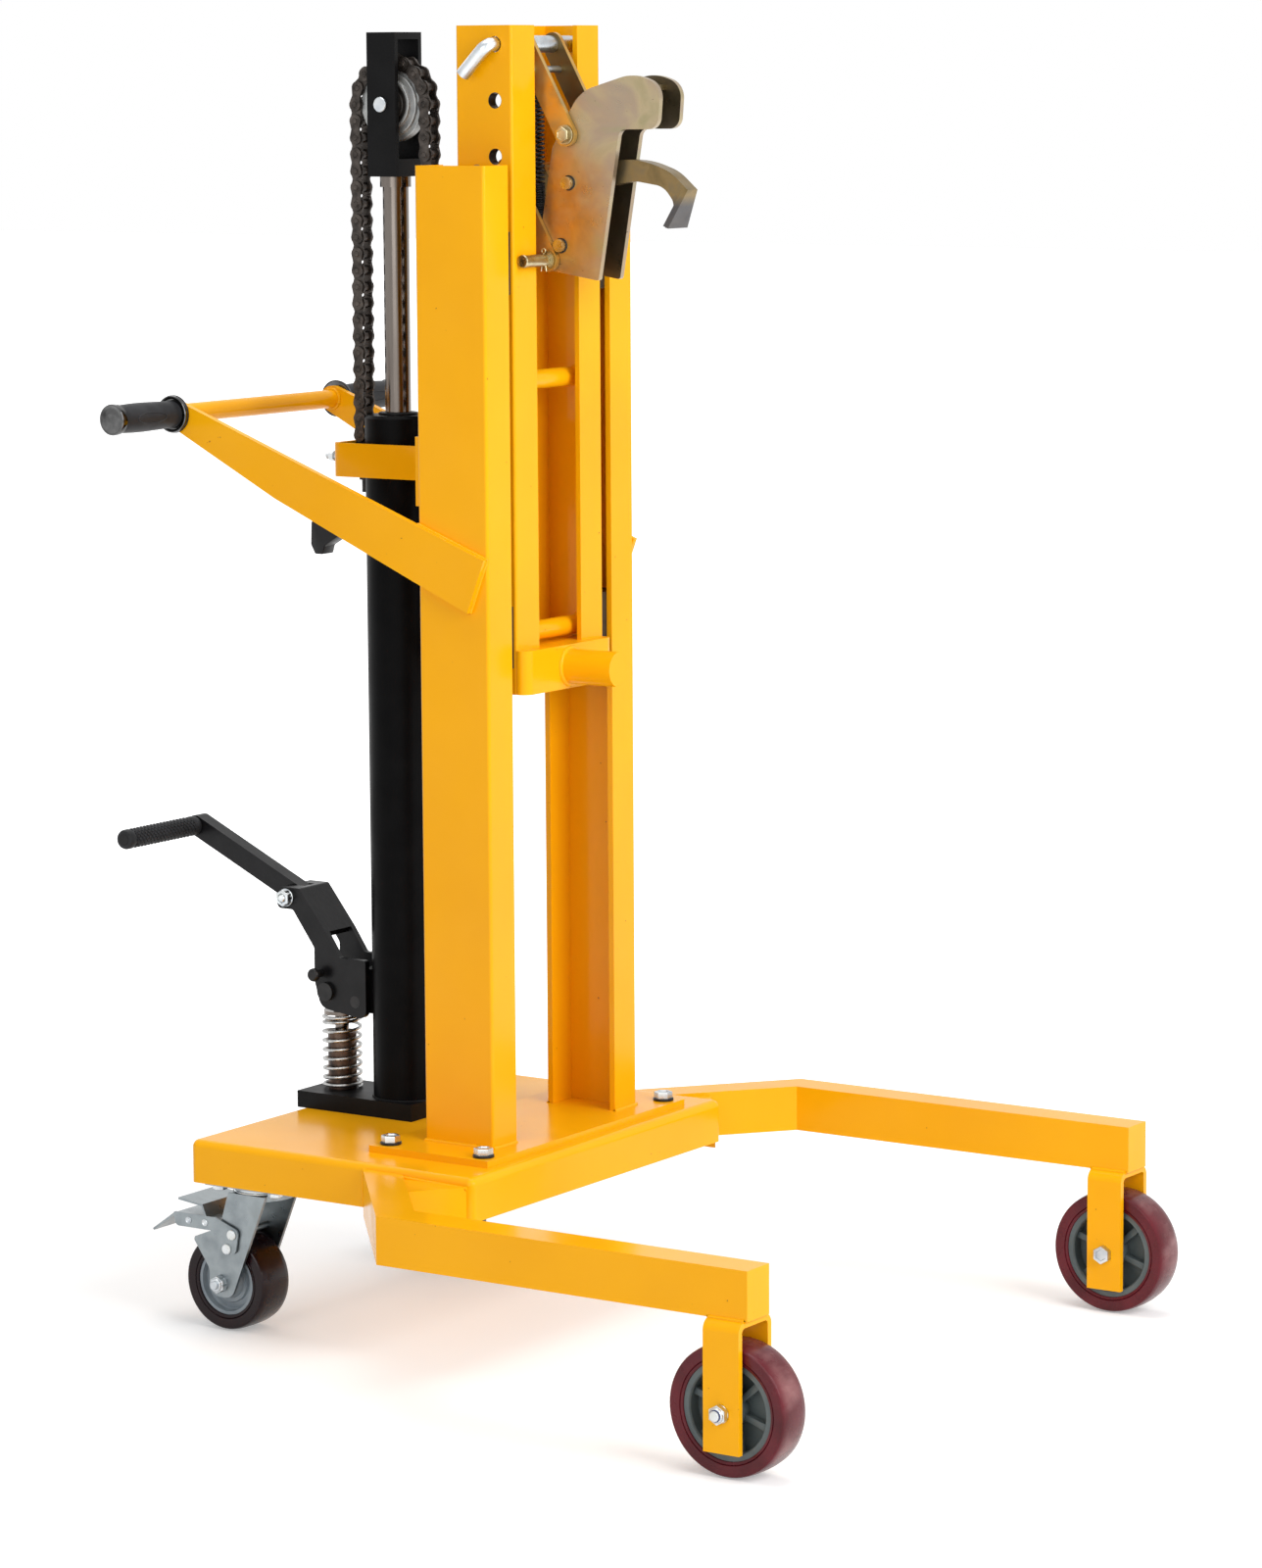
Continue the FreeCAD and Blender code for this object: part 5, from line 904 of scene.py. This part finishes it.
link_face = 0.0320
plate_face = 0.0250
nut_rise = 0.0016
pin_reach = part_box("beak_pins")[1].y
upper_x, upper_z = 0.0168, 1.3765
lower_x, lower_z = -0.0087, 1.2370
rivet_places = ((0.017, 1.323), (0.006, 1.253))
link_fasteners = []
rivet_shade_rings = []
for side in (1, -1):
    out = (0, side, 0)
    clip_seat = (lower_x, side * link_face, lower_z)
    link_fasteners += [
        turned("link_washer", [
            (0, 0.0074), (0, 0.0112), (0.0012, 0.0112), (nut_rise, 0.0106), (nut_rise, 0.0074), (0, 0.0074)],
            (upper_x, side * link_face, upper_z), out),
        hex_head((upper_x, side * (link_face + nut_rise), upper_z), out, 0.0158, 0.0056),
        turned("pin_clip", [
            (0, 0.0071), (0, 0.0104), (0.0018, 0.0104), (0.0018, 0.0090), (0.0036, 0.0090), (0.0036, 0.0071),
            (0, 0.0071)], clip_seat, out),
        split_pin((lower_x, side * (link_face + 0.0062), lower_z)),
        turned("pin_end", [
            (-0.0020, 0.0070), (-0.0020, 0.0074), (-0.0004, 0.0074), (0.0006, 0.0064), (0.0006, 0)],
            (lower_x, side * pin_reach, lower_z), out)]
    rivets = [(x, side * plate_face, z) for x, z in rivet_places]
    link_fasteners += spread(turned("rivet_head", [
        (0.0004, 0.0066), (0.0004, 0.0073), (0.0052, 0.0073), (0.0064, 0.0062), (0.0066, 0)],
        (0, 0, 0), out), rivets)
    # Dark rings under the rivet heads: painted shade round each head.
    rivet_shade_rings += spread(turned("rivet_shade_ring", [
        (0, 0.0062), (0, 0.0086), (0.0006, 0.0086), (0.0010, 0.0078), (0.0010, 0.0062), (0, 0.0062)],
        (0, 0, 0), out), rivets)
settle(joined("link_fasteners", link_fasteners), pin_zinc, "gold_zinc", "head")
settle(joined("rivet_shade_rings", rivet_shade_rings), black_oxide, "black_paint", "head")

lock_x, lock_z = -0.039, 1.477
hole_pitch = 0.062
hole_places = [(lock_x, 0, lock_z - hole * hole_pitch) for hole in (1, 2, 3)]
# Dark liners in the uprights' free holes: painted shade inside the holes.
hole_shade_liners = []
for side in (1, -1):
    hole_shade_liners += spread(turned("hole_shade_liner", [
        (0.0735, 0.0086), (0.0735, 0.0106), (0.0813, 0.0106), (0.0813, 0.0092), (0.0873, 0.0092),
        (0.0873, 0.0086), (0.0735, 0.0086)], (0, 0, 0), (0, side, 0), 40), hole_places)
settle(joined("hole_shade_liners", hole_shade_liners), black_oxide, "black_paint", "carriage")

sleeve_parts = []
for start, stop in ((-0.0250, 0.0250), (0.0316, 0.0778), (-0.0778, -0.0316)):
    sleeve_parts.append(turned("bright_sleeve", ring_line(start, stop, 0.0094, 0.0097),
                               (lock_x, 0, lock_z), (0, 1, 0), 40))
settle(joined("bright_sleeves", sleeve_parts), zinc_plate, "zinc_steel", "upper_links")


# Front wheels: maroon cast polyurethane tyres on grey moulded hubs, with scuffed treads.
# The tyre is turned with a crowned tread, a shoulder edge and a fine ring on each side; the hub is a rim, a
# web, a boss and six spokes. The axle is a zinc bolt with a lock nut, whose nylon ring shows.

def tyre_finish(name, dark, light, scuff, centre, tread):
    """Polyurethane whose tread, by its distance from the axle, is scuffed pale."""
    finish = mottled(
        name, grain=(25, 4), rough_grain=(40, 4), rough=(0.2, 0.34),
        Specular_IOR_Level=0.2, Coat_Weight=0.1, Coat_Roughness=0.1,
        tones=((0.35, dark), (0.7, light)))
    worn = between(finish, reach(finish, (1, 0, 1), centre), tread - 0.0016, tread - 0.0002, 0, 1)
    patches = ramp(finish, noise(finish, 34, 6, (1, 0.5, 1)), ((0.46, 0.02), (0.72, 0.45)))
    blotched(finish, colour(*scuff), combined(finish, worn, patches))
    return finish


def both_ways(line):
    """Closed half section of a wheel's tyre: one side's line and its mirror."""
    section = [(-step, radius) for step, radius in line] + line[-2::-1]
    return section + section[:1]


def paired(piece, half_track, finish, slot, body, stands_for=None):
    """Left and right copies of a piece, each settled on the body and for the node of its own side."""
    for side, hand in ((1, "_left"), (-1, "_right")):
        twin = copy_of(piece, (0, side * half_track, 0), hand=hand)
        settle(twin, finish, slot, body + hand, *([stands_for + hand] if stands_for else []))
    bpy.data.objects.remove(piece)


def lock_nut(seat, out, across, tall, shank):
    """Lock nut on a washer: hexagon, round crown and the bolt's end, with the nylon ring by itself."""
    out = Vector(out)
    seat = Vector(seat)
    rise = 0.0018
    washer = turned("washer", [
        (0, shank), (0, across * 0.52), (0.0014, across * 0.52), (rise, across * 0.48), (rise, shank),
        (0, shank)], seat, out)
    flats = hex_head(seat + out * rise, out, across, tall * 0.7, 0.02)
    crown_at = seat + out * (rise + tall * 0.7)
    crown = turned("crown", [
        (-0.001, across * 0.36), (-0.001, across * 0.46), (tall * 0.16, across * 0.44),
        (tall * 0.3, across * 0.38), (tall * 0.3, shank * 1.12), (-0.001, shank * 1.12),
        (-0.001, across * 0.36)], crown_at, out)
    end = turned("bolt_end", [
        (-0.002, 0), (-0.002, shank * 0.98), (tall * 0.5, shank * 0.98), (tall * 0.6, shank * 0.82),
        (tall * 0.6, 0)], crown_at, out, 24)
    band = turned("nylon", ring_line(tall * 0.22, tall * 0.33, shank, shank * 1.13), crown_at, out, 24)
    return [washer, flats, crown, end], band


front_plastic = mottled(
    "front_plastic", grain=(40, 4), rough_grain=(60, 3), rough=(0.36, 0.5),
    tones=((0.35, (70, 80, 82)), (0.7, (88, 98, 99))))
dress(front_plastic, "front_hub_left", "front_hub_right")

nylon_ring = new_finish("nylon_ring")
surface(nylon_ring, Base_Color=ramp(nylon_ring, noise(nylon_ring, 90, 2), (
    (0.3, (44, 56, 104)), (0.7, (64, 76, 128)))))

front_low, front_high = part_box("front_tyre_left")
front_axle = middle("front_tyre_left")
front_half = (front_high.y - front_low.y) / 2
front_radius = (front_high.z - front_low.z) / 2
front_line = both_ways([
    (front_half - 0.0034, 0.0534), (front_half - 0.0014, 0.0540), (front_half - 0.0006, 0.0566),
    (front_half - 0.0018, 0.0573), (front_half - 0.0005, 0.0581), (front_half, 0.0620), (front_half, 0.0688),
    (front_half - 0.0007, 0.0700), (front_half - 0.0022, 0.0707), (front_half - 0.0100, 0.0716),
    (0, front_radius)])
tread_maroon = tyre_finish("tread_maroon", (78, 18, 26), (100, 28, 38), (176, 132, 130),
                           front_axle, front_radius)
hub_low, hub_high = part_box("front_hub_left")
boss_half = (hub_high.y - hub_low.y) / 2
rim_half = 0.0192
rim_line = [
    (-rim_half, 0.0476), (-rim_half, 0.0537), (rim_half, 0.0537), (rim_half, 0.0476),
    (rim_half - 0.0016, 0.0462), (0.0016 - rim_half, 0.0462), (-rim_half, 0.0476)]
boss_line = [
    (-boss_half, 0.0062), (-boss_half, 0.0150), (0.0020 - boss_half, 0.0180), (boss_half - 0.0020, 0.0180),
    (boss_half, 0.0150), (boss_half, 0.0062), (-boss_half, 0.0062)]
spoke_line = ((0.0160, -0.0030), (0.0478, -0.0042), (0.0478, 0.0042), (0.0160, 0.0030))
spoke = cut_plate("hub_spoke", spoke_line, -0.0130, 0.0130, 0.0012)
spoke_turns = [math.radians(60 * i + 18) for i in range(6)]
wheel_at = (front_axle.x, 0, front_axle.z)
front_tyre = turned("front_tyre_turned", front_line, wheel_at, (0, 1, 0), 96, 24)
front_hub = joined("front_hub_moulded", [
    turned("hub_rim", rim_line, wheel_at, (0, 1, 0), 72),
    turned("hub_web", ring_line(-0.0030, 0.0030, 0.0150, 0.0470), wheel_at, (0, 1, 0), 48),
    turned("hub_boss", boss_line, wheel_at, (0, 1, 0), 40)] + [
    copy_of(spoke, wheel_at, turn) for turn in spoke_turns])
bpy.data.objects.remove(spoke)
paired(front_tyre, front_axle.y, tread_maroon, "wheel_tread", "front_wheel", "front_tyre")
paired(front_hub, front_axle.y, front_plastic, "front_hub", "front_wheel", "front_hub")

axle_parts = []
axle_bands = []
for side in (1, -1):
    outer_seat = (front_axle.x, side * (fork_high.y + 0.0002), front_axle.z)
    inner_seat = (front_axle.x, side * (2 * front_axle.y - fork_high.y - 0.0002), front_axle.z)
    shank_long = abs(outer_seat[1] - inner_seat[1])
    nut, band = lock_nut(outer_seat, (0, side, 0), 0.019, 0.0096, 0.006)
    axle_bands.append(band)
    axle_parts += nut + [
        hex_head(inner_seat, (0, -side, 0), 0.019, 0.008),
        turned("axle_shank", [(0, 0), (0, 0.0059), (shank_long, 0.0059), (shank_long, 0)], inner_seat,
               (0, side, 0), 24)]
settle(joined("front_axle_bolts", axle_parts), zinc_plate, "zinc_steel", "chassis", "front_axles")
settle(joined("front_axle_nylon", axle_bands), nylon_ring, "slide_pad", "chassis")


# Castors: pressed zinc-plated forks and brakes, pale blue-grey dished hubs and dark maroon tyres.
# Rivets hold the brake, a lock nut holds the axle and bolts hold the top plate under the deck.

castor_zinc = mottled(
    "castor_zinc", grain=(30, 4), rough_grain=(80, 3), rough=(0.26, 0.4), Metallic=1.0,
    tones=((0.3, (120, 127, 131)), (0.55, (144, 151, 154)), (0.75, (132, 139, 141))))
relief(castor_zinc, 500, 2, 0.05, 0.0004)
dress(castor_zinc, "castor_plates", "castor_fork_left", "castor_fork_right", "brake_left", "brake_right")

castor_plastic = mottled(
    "castor_plastic", grain=(40, 4), rough_grain=(60, 3), rough=(0.34, 0.48),
    tones=((0.35, (128, 138, 146)), (0.7, (150, 160, 167))))
dress(castor_plastic, "castor_hub_left", "castor_hub_right")

rear_low, rear_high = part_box("castor_tyre_left")
rear_axle = middle("castor_tyre_left")
rear_half = (rear_high.y - rear_low.y) / 2
rear_radius = (rear_high.z - rear_low.z) / 2
rear_line = both_ways([
    (rear_half - 0.0028, 0.0388), (rear_half - 0.0010, 0.0394), (rear_half - 0.0004, 0.0424),
    (rear_half - 0.0015, 0.0431), (rear_half - 0.0003, 0.0439), (rear_half, 0.0490), (rear_half, 0.0538),
    (rear_half - 0.0008, 0.0552), (rear_half - 0.0024, 0.0560), (rear_half - 0.0090, 0.0571),
    (0, rear_radius)])
castor_tread = tyre_finish("castor_tread", (20, 6, 10), (30, 9, 14), (60, 42, 40), rear_axle, rear_radius)
hub_low, hub_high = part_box("castor_hub_left")
boss_half = (hub_high.y - hub_low.y) / 2
dish = 0.0222
dish_line = [
    (boss_half, 0.0052), (boss_half, 0.0160), (boss_half - 0.0030, 0.0178), (dish - 0.0060, 0.0205),
    (dish - 0.0058, 0.0248), (dish - 0.0092, 0.0262), (dish - 0.0098, 0.0318), (dish - 0.0075, 0.0342),
    (dish, 0.0352), (dish, 0.0390)]
dish_section = dish_line + [(-step, radius) for step, radius in reversed(dish_line)] + dish_line[:1]
cheek_out = 0.0333
brake_out = 0.0365
pin_places = ((-0.321, 0.118), (-0.3285, 0.1005))
brake_places = ((-0.3600, 0.1280), (-0.3840, 0.1280))
wheel_at = (rear_axle.x, 0, rear_axle.z)
castor_tyre = turned("castor_tyre_turned", rear_line, wheel_at, (0, 1, 0), 96, 24)
castor_hub = turned("castor_hub_moulded", dish_section, wheel_at, (0, 1, 0), 72)
fork_parts = []
brake_parts = []
for way in (1, -1):
    out = (0, way, 0)
    nut, band = lock_nut((rear_axle.x, way * cheek_out, rear_axle.z), out, 0.0182, 0.0094, 0.005)
    fork_parts += nut + [band]
    brake_parts += spread(turned("brake_pin_head", [
        (-0.0005, 0), (-0.0005, 0.0062), (0.0014, 0.0062), (0.0022, 0.0054), (0.0024, 0)],
        (0, 0, 0), out, 24), [(x, way * brake_out, z) for x, z in pin_places])
    brake_parts += spread(turned("brake_rivet", [
        (-0.0005, 0), (-0.0005, 0.0040), (0.0008, 0.0040), (0.0012, 0.0032), (0.0004, 0.0020), (0.0004, 0)],
        (0, 0, 0), out, 20), [(x, way * brake_out, z) for x, z in brake_places])
fork_fasteners = joined("castor_fork_fasteners", fork_parts)
brake_rivets = joined("brake_rivets", brake_parts)
paired(castor_tyre, rear_axle.y, castor_tread, "wheel_tread", "castor_wheel", "castor_tyre")
paired(castor_hub, rear_axle.y, castor_plastic, "castor_hub", "castor_wheel", "castor_hub")
paired(fork_fasteners, rear_axle.y, zinc_plate, "zinc_steel", "castor")
paired(brake_rivets, rear_axle.y, zinc_plate, "zinc_steel", "brake")

swivel_x = -0.301
plate_under = 0.175
swivel_places = [(swivel_x, side * rear_axle.y, plate_under) for side in (1, -1)]
corner_places = [(x + bolt_x, y + bolt_y, z) for x, y, z in swivel_places
                 for bolt_x in (-0.040, 0.040) for bolt_y in (-0.031, 0.031)]
ball_race = turned("ball_race", [
    (0, 0.0285), (0, 0.0350), (-0.0020, 0.0355), (-0.0034, 0.0345), (-0.0040, 0.0325), (-0.0052, 0.0325),
    (-0.0058, 0.0340), (-0.0072, 0.0345), (-0.0078, 0.0335), (-0.0078, 0.0285), (0, 0.0285)],
    (0, 0, 0), (0, 0, 1), 48)
corner_bolt = hex_head((0, 0, 0), (0, 0, -1), 0.015, 0.0058)
top_parts = spread(corner_bolt, corner_places) + spread(ball_race, swivel_places)
settle(joined("castor_plate_bolts_and_races", top_parts), zinc_plate, "zinc_steel", "chassis")


# Studio: a pale floor that reads white and keeps the shadow, with soft lamps on three sides and above.
# The camera stands where the photograph was taken, fitted to corners read from it.

def seen_directly(finish):
    """1 where the surface is looked at, in a mirror or through glass too; 0 where it only lights others."""
    path = shading(finish, "LightPath").outputs
    share = path["Is Camera Ray"]
    for ray in ("Is Glossy Ray", "Is Transmission Ray"):
        share = combined(finish, share, path[ray], "MAXIMUM")
    return share


def soft_lamp(name, place, target, size, power):
    lamp = bpy.data.lights.new(name, "AREA")
    lamp.energy = power
    lamp.size = size
    holder = bpy.data.objects.new(name, lamp)
    bpy.context.scene.collection.objects.link(holder)
    holder.location = place
    holder.rotation_euler = (Vector(target) - Vector(place)).to_track_quat("-Z", "Y").to_euler()


floor = made(bpy.ops.mesh.primitive_plane_add, size=60, location=(0, 0, -0.0005))
floor.name = "studio_floor"
floor_white = new_finish("floor_white", Base_Color=(0.8, 0.8, 0.8, 1), Roughness=0.9,
                         Emission_Color=(1, 1, 1, 1))
fade = between(floor_white, reach(floor_white, (1, 1, 0)), 0.9, 2.2, 0.3, 1.0)
surface(floor_white, Emission_Strength=combined(floor_white, seen_directly(floor_white), fade))
floor.data.materials.append(floor_white)

scene = bpy.context.scene
studio = bpy.data.worlds.new("studio_white")
scene.world = studio
studio.use_nodes = True
backdrop = studio.node_tree.nodes["Background"].inputs
feed(studio, backdrop["Color"], (1, 1, 1, 1))
feed(studio, backdrop["Strength"], between(studio, seen_directly(studio), 0, 1, 0.42, 1.0))

soft_lamp("key_lamp", (3.8, -0.8, 2.4), (0, 0, 0.7), 2.6, 140)
soft_lamp("fill_lamp", (0.8, -4.3, 2.2), (0, 0, 0.7), 2.6, 42)
soft_lamp("back_lamp", (-3.0, 1.8, 3.0), (0, 0, 0.9), 2.4, 18)
soft_lamp("top_lamp", (0, 0, 4.6), (0, 0, 0), 3.0, 85)

scene.view_settings.view_transform = "Standard"
lens = bpy.data.cameras.new("photo_camera")
camera = bpy.data.objects.new("photo_camera", lens)
scene.collection.objects.link(camera)
scene.camera = camera
sensor = 36
picture_tall = 1600
focal_pixels = 5147.14
lens.sensor_fit = "VERTICAL"
lens.sensor_height = sensor
lens.lens = sensor * focal_pixels / picture_tall
lens.clip_end = 200
turn = Matrix.Rotation(math.radians(33.56), 3, "Z")
dip = Matrix.Rotation(math.pi / 2 - math.radians(8.13), 3, "X")
tilt = Matrix.Rotation(math.radians(-0.34), 3, "Z")
camera.location = (3.2136, -4.7245, 1.4550)
camera.rotation_mode = "XYZ"
camera.rotation_euler = (turn @ dip @ tilt).to_euler()
